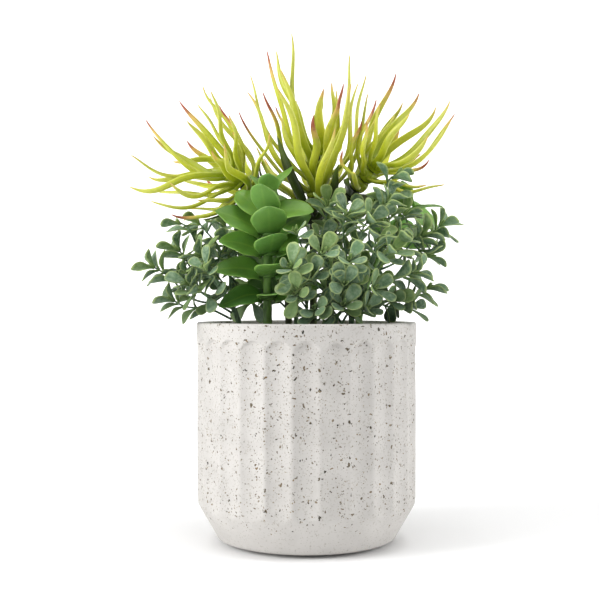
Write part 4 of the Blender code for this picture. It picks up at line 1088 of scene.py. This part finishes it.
def grow(shape, leaf, look, draw, blush, slot=0, sink=0.0010):
    """Adds one finished leaf. Its foot starts a little inside whatever carries it."""
    base, start, tip, end = (np.array(v) for v in (leaf.base, leaf.start, leaf.tip, leaf.end))
    reach = np.linalg.norm(tip - base) * MIDRIB_PULL
    first, second = base + start * reach, tip - end * reach
    t = look.stops[:, None]
    back = 1 - t
    centre = base * back**3 + first * (3 * back**2 * t) + second * (3 * back * t**2) + tip * t**3
    ahead = units((first - base) * back**2 + (second - first) * (2 * back * t) + (tip - second) * t**2)
    side = np.array(leaf.side)[None, :]
    side = units(side - ahead * (ahead * side).sum(axis=1, keepdims=True))
    up = np.cross(ahead, side)
    share = look.stops
    for way in (side, up):
        swing = np.sin(2 * math.pi * (draw.uniform(*WAVES) * share + draw.random()))
        centre = centre + way * (look.wave * swing * 4 * share * (1 - share))[:, None]
    turn = 2 * math.pi * (np.arange(look.sides) + 0.5) / look.sides
    x, z = np.cos(turn)[None, :], np.sin(turn)[None, :]
    half = 0.5 * leaf.width * np.interp(share, *look.outline)[:, None]
    deep = 0.5 * leaf.thickness * np.interp(share, *look.body)[:, None]
    shaped = np.minimum(1, share / SHAPED_FROM)[:, None]
    groove = look.groove * np.exp(-((x / GROOVE_WIDTH) ** 2)) * (z > 0)
    phase = draw.random() * 6.28 + RUFFLE_SHIFT * np.sign(x)
    ruffle = look.ruffle * half * x**2 * np.sin(RUFFLES * share[:, None] + phase)
    rise = deep * z + (look.cup * half * (x**2 - CUP_LEVEL) + ruffle - deep * groove) * shaped
    points = centre[:, None, :] + side[:, None, :] * (half * x)[..., None] + up[:, None, :] * rise[..., None]
    points[0] -= start * sink
    points = np.vstack([points.reshape(-1, 3), tip[None, :]])
    rows = np.broadcast_to(share[:, None], rise.shape)
    tone = leaf.tone if hasattr(leaf, "tone") else draw.random()
    marks = np.stack(
        [rows, np.broadcast_to(x, rise.shape), np.broadcast_to(0.5 + 0.5 * z, rise.shape),
         np.full(rise.shape, tone), np.full(rise.shape, blush)], axis=-1
    ).reshape(-1, len(MARKS))
    marks = np.vstack([marks, [1.0, 0.0, 0.5, tone, blush]])
    shape.add(points, look.faces, marks, slot)


def frames(path):
    """Directions along a path, and two across it that turn as little as possible."""
    ahead = units(np.gradient(path, axis=0))
    side = np.array(Vector(ahead[0]).orthogonal().normalized())
    sides = []
    for way in ahead:
        side = side - way * side.dot(way)
        side = side / np.linalg.norm(side)
        sides.append(side)
    sides = np.array(sides)
    return ahead, sides, np.cross(ahead, sides)


def tube(shape, path, radii, columns, tone, slot=0):
    """Adds a tube; radii holds one radius per ring, or one per point of each ring."""
    _, side, across = frames(path)
    turn = 2 * math.pi * np.arange(columns) / columns
    ways = side[:, None, :] * np.cos(turn)[None, :, None]
    ways = ways + across[:, None, :] * np.sin(turn)[None, :, None]
    radii = np.broadcast_to(np.asarray(radii).reshape(len(path), -1), (len(path), columns))
    points = path[:, None, :] + ways * radii[..., None]
    cap = path[-1] + (path[-1] - path[-2]) * 0.2
    points = np.vstack([points.reshape(-1, 3), cap[None, :]])
    marks = np.zeros((len(points), len(MARKS)))
    marks[:, TONE] = tone
    shape.add(points, tube_faces(len(path), columns), marks, slot)


def resampled(path, step):
    path = np.array(path)
    runs = np.concatenate([[0], np.cumsum(np.linalg.norm(np.diff(path, axis=0), axis=1))])
    stops = np.linspace(0, runs[-1], max(3, int(runs[-1] / step) + 1))
    return np.stack([np.interp(stops, runs, path[:, k]) for k in range(3)], axis=1), stops


def smoothed(path, rounds):
    for _ in range(rounds):
        path[1:-1] = path[1:-1] * 0.5 + (path[:-2] + path[2:]) * 0.25
    return path


# ---------------------------------------------------------------- pieces

FLUTE_POINTS = 20
AROUND = FLUTES * FLUTE_POINTS
RIDGE_BLUR = 3  # points over which a ridge between two flutes is rounded
ARCH_FADE = 0.0016  # height over which a flute's arched top cuts in
POT_WAVE = 0.00007  # unevenness of the cast sides
SOIL_RINGS = 32
SOIL_SPOKES = 128
SOIL_RELIEF = 0.0012
SOIL_LUMPS = 420
LUMP_SPREADS = (0.002, 0.005)
HOLE_SIDES = 24
STALK_STEP = 0.0007
STALK_SIDES = 20
GROWTH_RING = 0.0062  # from one ring on a stem to the next
SCARS = 5  # round a spiky stem
SCAR_TWIST = 1500.0  # radians a metre
COLLAR_SIDES = 20
TWIG_STEP = 0.0006
TWIG_SIDES = 10
NODE_SWELL = 0.0009  # half the length of the swelling at a leaf node
BUD_LENGTH = (0.0036, 0.0052)
BUD_THICKNESS = 0.0006


def scallop():
    """Depth of the flutes round the pot: arcs that meet in softly rounded ridges."""
    across = (np.arange(AROUND) / FLUTE_POINTS) % 1 * 2 - 1
    arcs = FLUTE_DEPTH * (1 - across**2)
    shifts = range(-RIDGE_BLUR // 2, RIDGE_BLUR // 2 + 1)
    return across, sum(np.roll(arcs, shift) for shift in shifts) / len(shifts)


def arc(centre, radii, start, end, steps):
    """Points on a quarter ellipse in (radius, height)."""
    turns = np.radians(np.linspace(start, end, steps))
    return [(centre[0] + radii[0] * math.cos(a), centre[1] + radii[1] * math.sin(a)) for a in turns]


def pot_levels():
    """(radius, height) of the pot's rings: under the foot, up the outside, over the rim and down inside."""
    foot = FOOT_RADIUS + FOOT_ROUND
    shoulder = POT_RADIUS - (POT_RADIUS - foot) * SHOULDER_SHARE
    edge = (FOOT_RADIUS, POT_FOOT + FOOT_ROUND_RISE)
    low, high = (foot, edge[1]), (shoulder, TAPER_TOP * SHOULDER_RISE)
    turn = TAPER_TOP * (1 - SHOULDER_RISE) + 0.002
    flute_top = POT_HEIGHT - RIM_BAND
    lip = POT_HEIGHT - RIM_ROUND
    levels = [(0.0, POT_FOOT), (0.02, POT_FOOT), (FOOT_RADIUS - 0.004, POT_FOOT)]
    levels += arc(edge, (FOOT_ROUND, FOOT_ROUND_RISE), -90, -12, 8)
    for share in np.linspace(0.08, 0.94, 7):
        levels.append((low[0] + (high[0] - low[0]) * share, low[1] + (high[1] - low[1]) * share))
    for out, up in ((0.12, 0.10), (0.35, 0.28), (0.58, 0.46), (0.78, 0.64), (0.93, 0.82), (1.0, 1.0)):
        levels.append((shoulder + (POT_RADIUS - shoulder) * out, high[1] + turn * up))
    for bottom, top, count in (
        (TAPER_TOP + 0.004, flute_top - FLUTE_ARCH - 0.004, 16),
        (flute_top - FLUTE_ARCH - 0.0032, flute_top + 0.0012, 20),
        (flute_top + 0.003, lip, 4),
    ):
        levels += [(POT_RADIUS, height) for height in np.linspace(bottom, top, count)]
    levels += arc((POT_RADIUS - RIM_ROUND, lip), (RIM_ROUND, RIM_ROUND), 15, 90, 5)
    levels += arc((MOUTH_RADIUS + RIM_ROUND, lip), (RIM_ROUND, RIM_ROUND), 90, 180, 5)
    levels += [(MOUTH_RADIUS, height) for height in np.linspace(POT_HEIGHT - 0.006, TAPER_TOP, 10)]
    return [*levels, (FOOT_RADIUS, INNER_FLOOR), (FOOT_RADIUS * 0.5, INNER_FLOOR), (0.0, INNER_FLOOR)]


def carved(ring, height, angle, across, depth, waves):
    """A ring of the outside with the flutes cut in and the cast's unevenness."""
    top = POT_HEIGHT - RIM_BAND - FLUTE_ARCH * across**2
    under = np.clip((top - height) / ARCH_FADE, 0, 1)
    ring = np.minimum(ring, POT_RADIUS - depth * under * under * (3 - 2 * under))
    swells = sum(np.sin(n * angle + pitch * height * 6.28 + phase) for n, pitch, phase in waves)
    return ring - POT_WAVE * swells / len(waves)


def pot_shell(material):
    """The fluted pot: scallops under arched tops that run out into the tapered foot."""
    across, depth = scallop()
    angle = 2 * math.pi * np.arange(AROUND) / AROUND
    levels = pot_levels()
    draw = np.random.default_rng(5)
    waves = [(draw.integers(2, 9), draw.uniform(20, 60), draw.uniform(0, 6.28)) for _ in range(5)]
    rim = next(i for i, level in enumerate(levels) if level[1] > POT_HEIGHT - RIM_ROUND / 100)
    rows = []
    for index, (radius, height) in enumerate(levels[1:-1], start=1):
        ring = np.full(AROUND, radius)
        if index <= rim and radius > FOOT_RADIUS + FOOT_ROUND:
            ring = carved(ring, height, angle, across, depth, waves)
        rows.append(np.stack([ring * np.cos(angle), ring * np.sin(angle), np.full(AROUND, height)], axis=1))
    points = np.concatenate([*rows, [[0, 0, levels[0][1]], [0, 0, levels[-1][1]]]])
    high = (len(rows) - 1) * AROUND
    last = len(rows) * AROUND
    faces = tube_faces(len(rows), AROUND)[1 : high + 1]
    faces += [((c + 1) % AROUND, c, last) for c in range(AROUND)]
    faces += [(high + c, high + (c + 1) % AROUND, last + 1) for c in range(AROUND)]
    shape = Shape()
    shape.add(points, faces, np.zeros((len(points), len(MARKS))))
    return shape.piece("pot_shell", [material])


def soil_surface(material):
    """Lumpy soil, with a hole round each stem."""
    draw = random.Random(11)
    bm = bmesh.new()
    rim = MOUTH_RADIUS - FOAM_SLACK
    lumps = np.array(
        [
            (draw.uniform(-rim, rim), draw.uniform(-rim, rim), draw.uniform(*LUMP_SPREADS), draw.uniform(0.3, 1.0))
            for _ in range(SOIL_LUMPS)
        ]
    )
    rings = []
    for ring in range(1, SOIL_RINGS + 1):
        radius = rim * ring / SOIL_RINGS
        line = []
        for step in range(SOIL_SPOKES):
            turn = 2 * math.pi * step / SOIL_SPOKES
            x, y = radius * math.cos(turn), radius * math.sin(turn)
            near = (lumps[:, 0] - x) ** 2 + (lumps[:, 1] - y) ** 2
            bulge = float((np.exp(-near / (lumps[:, 2] * 0.5) ** 2) * lumps[:, 3]).max())
            bulge = bulge if ring < SOIL_RINGS else 0.0
            line.append(bm.verts.new((x, y, SOIL_TOP + SOIL_RELIEF * (bulge - 1))))
        rings.append(line)
    rings.append([bm.verts.new((v.co.x, v.co.y, SOIL_BOTTOM)) for v in rings[-1]])
    centre = bm.verts.new((0, 0, SOIL_TOP - SOIL_RELIEF / 2))
    for i in range(SOIL_SPOKES):
        beside = (i + 1) % SOIL_SPOKES
        bm.faces.new((centre, rings[0][i], rings[0][beside]))
        for near, far in zip(rings, rings[1:]):
            bm.faces.new((near[i], far[i], far[beside], near[beside]))
    bm.faces.new(rings[-1][::-1])
    bmesh.ops.recalc_face_normals(bm, faces=bm.faces)
    made = object_from(bm, "soil_surface")
    made.data.materials.append(material)
    for pick in PICKED.values():
        cut_hole(made, pick)
    return made


def object_from(bm, name):
    mesh = bpy.data.meshes.new(name)
    bm.to_mesh(mesh)
    bm.free()
    made = bpy.data.objects.new(name, mesh)
    bpy.context.scene.collection.objects.link(made)
    return made


def cut_hole(piece, pick):
    bm = bmesh.new()
    where = Matrix.Translation((pick.pivot.x, pick.pivot.y, POT_HEIGHT - 0.02))
    radius = pick.hole_radius
    bmesh.ops.create_cone(
        bm, cap_ends=True, segments=HOLE_SIDES, radius1=radius, radius2=radius, depth=0.05, matrix=where
    )
    cutter = object_from(bm, "hole")
    cut = piece.modifiers.new("hole", "BOOLEAN")
    cut.object = cutter
    cut.solver = "EXACT"
    bpy.context.view_layer.objects.active = piece
    bpy.ops.object.modifier_apply(modifier=cut.name)
    bpy.data.objects.remove(cutter)


def stalk(pick, material):
    """A stem with growth rings and, on the spiky heads, the scars of old leaves."""
    path, stops = resampled(pick.path, STALK_STEP)
    path = smoothed(path, 6)
    turn = 2 * math.pi * np.arange(STALK_SIDES) / STALK_SIDES
    rise = stops[:, None]
    rings = 0.5 + 0.5 * np.cos(2 * math.pi * rise / GROWTH_RING)
    scars = 0.5 + 0.5 * np.sin(SCARS * turn[None, :] + rise * SCAR_TWIST)
    pattern = np.where(pick.name.endswith("spike"), 0.10 * scars * (0.4 + 0.6 * rings), 0.06 * rings**6)
    radii = pick.radius * (0.90 + pattern)
    shape = Shape()
    tube(shape, path, radii, STALK_SIDES, 0.4)
    return shape.piece(f"{pick.name}_stalk", [material])


def collar(shape, whorl):
    """The sleeve or cap that a whorl's leaves grow from, as a rounded ring."""
    half = whorl.height / 2
    outer = whorl.outer * 0.98
    inner = 0.0003 if whorl.is_crown else whorl.pick.radius + 0.0001
    if whorl.is_crown:
        curve = ((0.85, -1), (1, -0.6), (1.04, 0), (0.92, 0.6), (0.6, 0.95))
        top = half * 1.05
    else:
        curve = ((0.86, -1), (0.98, -0.6), (1.03, 0), (0.98, 0.6), (0.86, 1))
        top = half
    profile = [(inner, -half), *[(outer * out, half * up) for out, up in curve], (inner, top)]
    count = COLLAR_SIDES
    axis = np.array(whorl.axis)
    side = np.array(whorl.across)
    across = np.cross(axis, side)
    turn = 2 * math.pi * np.arange(count) / count
    ways = side[None, :] * np.cos(turn)[:, None] + across[None, :] * np.sin(turn)[:, None]
    rows = [np.array(whorl.middle) + axis * height + ways * radius for radius, height in profile]
    points = np.concatenate(rows)
    faces = []
    size = len(profile)
    for row in range(size - (1 if whorl.is_crown else 0)):
        for column in range(count):
            low, high = row * count, (row + 1) % size * count
            beside = (column + 1) % count
            faces.append((low + column, low + beside, high + beside, high + column))
    if whorl.is_crown:
        faces.append(tuple(range(count))[::-1])
        faces.append(tuple(range((size - 1) * count, size * count)))
    marks = np.zeros((len(points), len(MARKS)))
    marks[:, TONE] = 0.3
    shape.add(points, faces, marks)


def whorl_piece(whorl, materials):
    shape = Shape()
    collar(shape, whorl)
    draw = random.Random(f"{whorl.name} finish")
    for leaf in whorl.leaves.values():
        blush = draw.random()
        if whorl.kind == "jade":
            is_young = whorl.is_crown or whorl.name.endswith("tier_5")
            leaf.tone = draw.uniform(0.15, 0.65) + 0.35 * is_young
        grow(shape, leaf, LOOKS[whorl.kind], draw, blush)
    return shape.piece(f"{whorl.name}_foliage", [materials[KIND_MATERIALS[whorl.kind]]])


def twig_tube(shape, twig, draw, is_first):
    """A tapering twig that swells where its leaves grow."""
    count = max(6, int(twig.total / TWIG_STEP))
    stops = np.linspace(0, twig.total, count)
    path = np.stack([np.interp(stops, twig.lengths, twig.cloud[:, k]) for k in range(3)], axis=1)
    path = smoothed(path, 4)
    if not is_first:
        path[0] -= (path[1] - path[0]) * 0.6
    swell = sum(np.exp(-(((stops - stop) / NODE_SWELL) ** 2)) for stop in twig.stops)
    radii = TWIG_RADIUS * (1.05 - 0.40 * stops / twig.total) * (0.84 + 0.24 * np.minimum(swell, 1))
    tube(shape, path, radii, TWIG_SIDES, draw.random(), slot=1)


def sprig_piece(sprig, materials):
    shape = Shape()
    draw = random.Random(f"{sprig.name} finish")
    for index, twig in enumerate(sprig.twigs):
        twig_tube(shape, twig, draw, index == 0)
        young_leaves(shape, twig, draw)
    for leaf in sprig.leaves.values():
        grow(shape, leaf, LOOKS["frost"], draw, draw.random(), sink=0.0004)
    return shape.piece(f"{sprig.name}_foliage", [materials["frost_leaf"], materials["frost_stem"]])


def young_leaves(shape, twig, draw):
    """The small unopened leaves at a twig's very end."""
    end = twig.spot(twig.total)
    ahead = (end - twig.spot(twig.total - 0.002)).normalized()
    side = ahead.orthogonal().normalized()
    for pair in range(2):
        for half in range(2):
            turn = math.pi * half + math.pi / 2 * pair + draw.uniform(-0.3, 0.3)
            out = Matrix.Rotation(turn, 3, ahead) @ side
            way = (ahead + out * (0.55 - 0.25 * pair)).normalized()
            size = draw.uniform(*BUD_LENGTH) * (1 - 0.2 * pair)
            foot = end - ahead * 0.0006 + out * 0.0003
            leaf = Leaf("frost", foot, way, end + way * size, way - out * 0.2, ahead, size * 0.45)
            leaf.thickness = BUD_THICKNESS
            leaf.tone = 0.9
            grow(shape, leaf, LOOKS["bud"], draw, 1.0, sink=0.0002)


def show(piece, node, slot):
    """The piece rides on the body of the node that it stands for."""
    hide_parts(node)
    bodies = frame["record"]["behaviour"]["bodies"]
    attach(piece, next(name for name, members in bodies.items() if node in members))


def repaint(node, material):
    made = frame["nodes"][node]
    for holder in made.material_slots:
        holder.material = material


STEM_LOOKS = {  # of each kind of pick: its material and its slot
    "spike": ("dark_stem", "dark_stem"),
    "jade": ("jade_stem", "jade_leaf"),
    "spray": ("frost_stem", "frost_stem"),
}


def build_object():
    materials = {
        "spike_leaf": spike_paint(),
        "dark_strap": strap_paint(),
        "jade_leaf": jade_paint(),
        "frost_leaf": frost_paint(),
        "frost_stem": twig_paint("frost_stem_look", srgb(58, 84, 56), srgb(120, 152, 112)),
        "dark_stem": twig_paint("dark_stem_look", srgb(30, 40, 14), srgb(78, 92, 34), 400.0),
        "jade_stem": twig_paint("jade_stem_look", srgb(62, 100, 38), srgb(110, 150, 66), 400.0),
    }
    show(pot_shell(stone_paint()), "pot", "pot_stone")
    show(soil_surface(soil_paint()), "soil_cover", "soil")
    repaint("base_pad", felt_paint())
    repaint("foam_block", foam_paint())
    steel = steel_paint()
    for pick in PICKED.values():
        repaint(f"{pick.name}_stake", steel)
        kind = pick.name.split("_")[-1]
        material, slot = STEM_LOOKS[kind]
        show(stalk(pick, materials[material]), f"{pick.name}_stem", slot)
    whorls, sprigs = plan_foliage()
    for whorl in whorls:
        show(whorl_piece(whorl, materials), whorl.name, KIND_MATERIALS[whorl.kind])
    for sprig in sprigs:
        show(sprig_piece(sprig, materials), sprig.name, "frost_leaf")


# ---------------------------------------------------------------- studio


def build_floor():
    """A plain pale floor that sweeps up far behind."""
    bm = bmesh.new()
    sweep = [
        (FLOOR_DEPTH + FLOOR_BEND * math.sin(turn), FLOOR_BEND * (1 - math.cos(turn)))
        for turn in np.radians(np.linspace(8, 90, 12))
    ]
    line = [(-FLOOR_REACH, 0.0), (FLOOR_DEPTH, 0.0), *sweep, (FLOOR_DEPTH + FLOOR_BEND, BACKDROP_TOP)]
    left = [bm.verts.new((-FLOOR_REACH, y, z)) for y, z in line]
    right = [bm.verts.new((FLOOR_REACH, y, z)) for y, z in line]
    for i in range(len(line) - 1):
        bm.faces.new((left[i], right[i], right[i + 1], left[i + 1])).smooth = True
    floor = object_from(bm, "studio_floor")
    paint = Paint("studio_floor_look", 0.9, Specular_IOR_Level=0.0)
    paint.colour(paint.mix(paint.noise(3.0), (0.93, 0.93, 0.93), (0.95, 0.95, 0.95)))
    floor.data.materials.append(paint.material)
    floor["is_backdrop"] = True


def add_light(name, place, size, power, aim):
    lamp = bpy.data.lights.new(name, "AREA")
    lamp.shape = "RECTANGLE"
    lamp.size, lamp.size_y = size
    lamp.energy = power
    made = bpy.data.objects.new(name, lamp)
    made.location = place
    made.rotation_euler = (Vector(aim) - Vector(place)).to_track_quat("-Z", "Y").to_euler()
    bpy.context.scene.collection.objects.link(made)


def build_studio():
    scene = bpy.context.scene
    scene.view_settings.view_transform = "Standard"
    world = bpy.data.worlds.new("studio")
    scene.world = world
    world.use_nodes = True
    background = world.node_tree.nodes["Background"]
    background.inputs["Color"].default_value = (1, 1, 1, 1)
    background.inputs["Strength"].default_value = 0.34
    for name, light in LIGHTS.items():
        add_light(name, *light)
    camera = bpy.data.cameras.new("camera")
    camera.lens = CAMERA_LENS
    camera.sensor_width = SENSOR
    made = bpy.data.objects.new("camera", camera)
    made.location = CAMERA_PLACE
    made.rotation_euler = (math.pi / 2, 0, 0)
    scene.collection.objects.link(made)
    scene.camera = made


build_floor()
build_studio()
build_object()

visual_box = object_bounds()
boxes = {"cad": cad_box, "visual": visual_box}
{name: [list(corner) for corner in box] for name, box in boxes.items()}
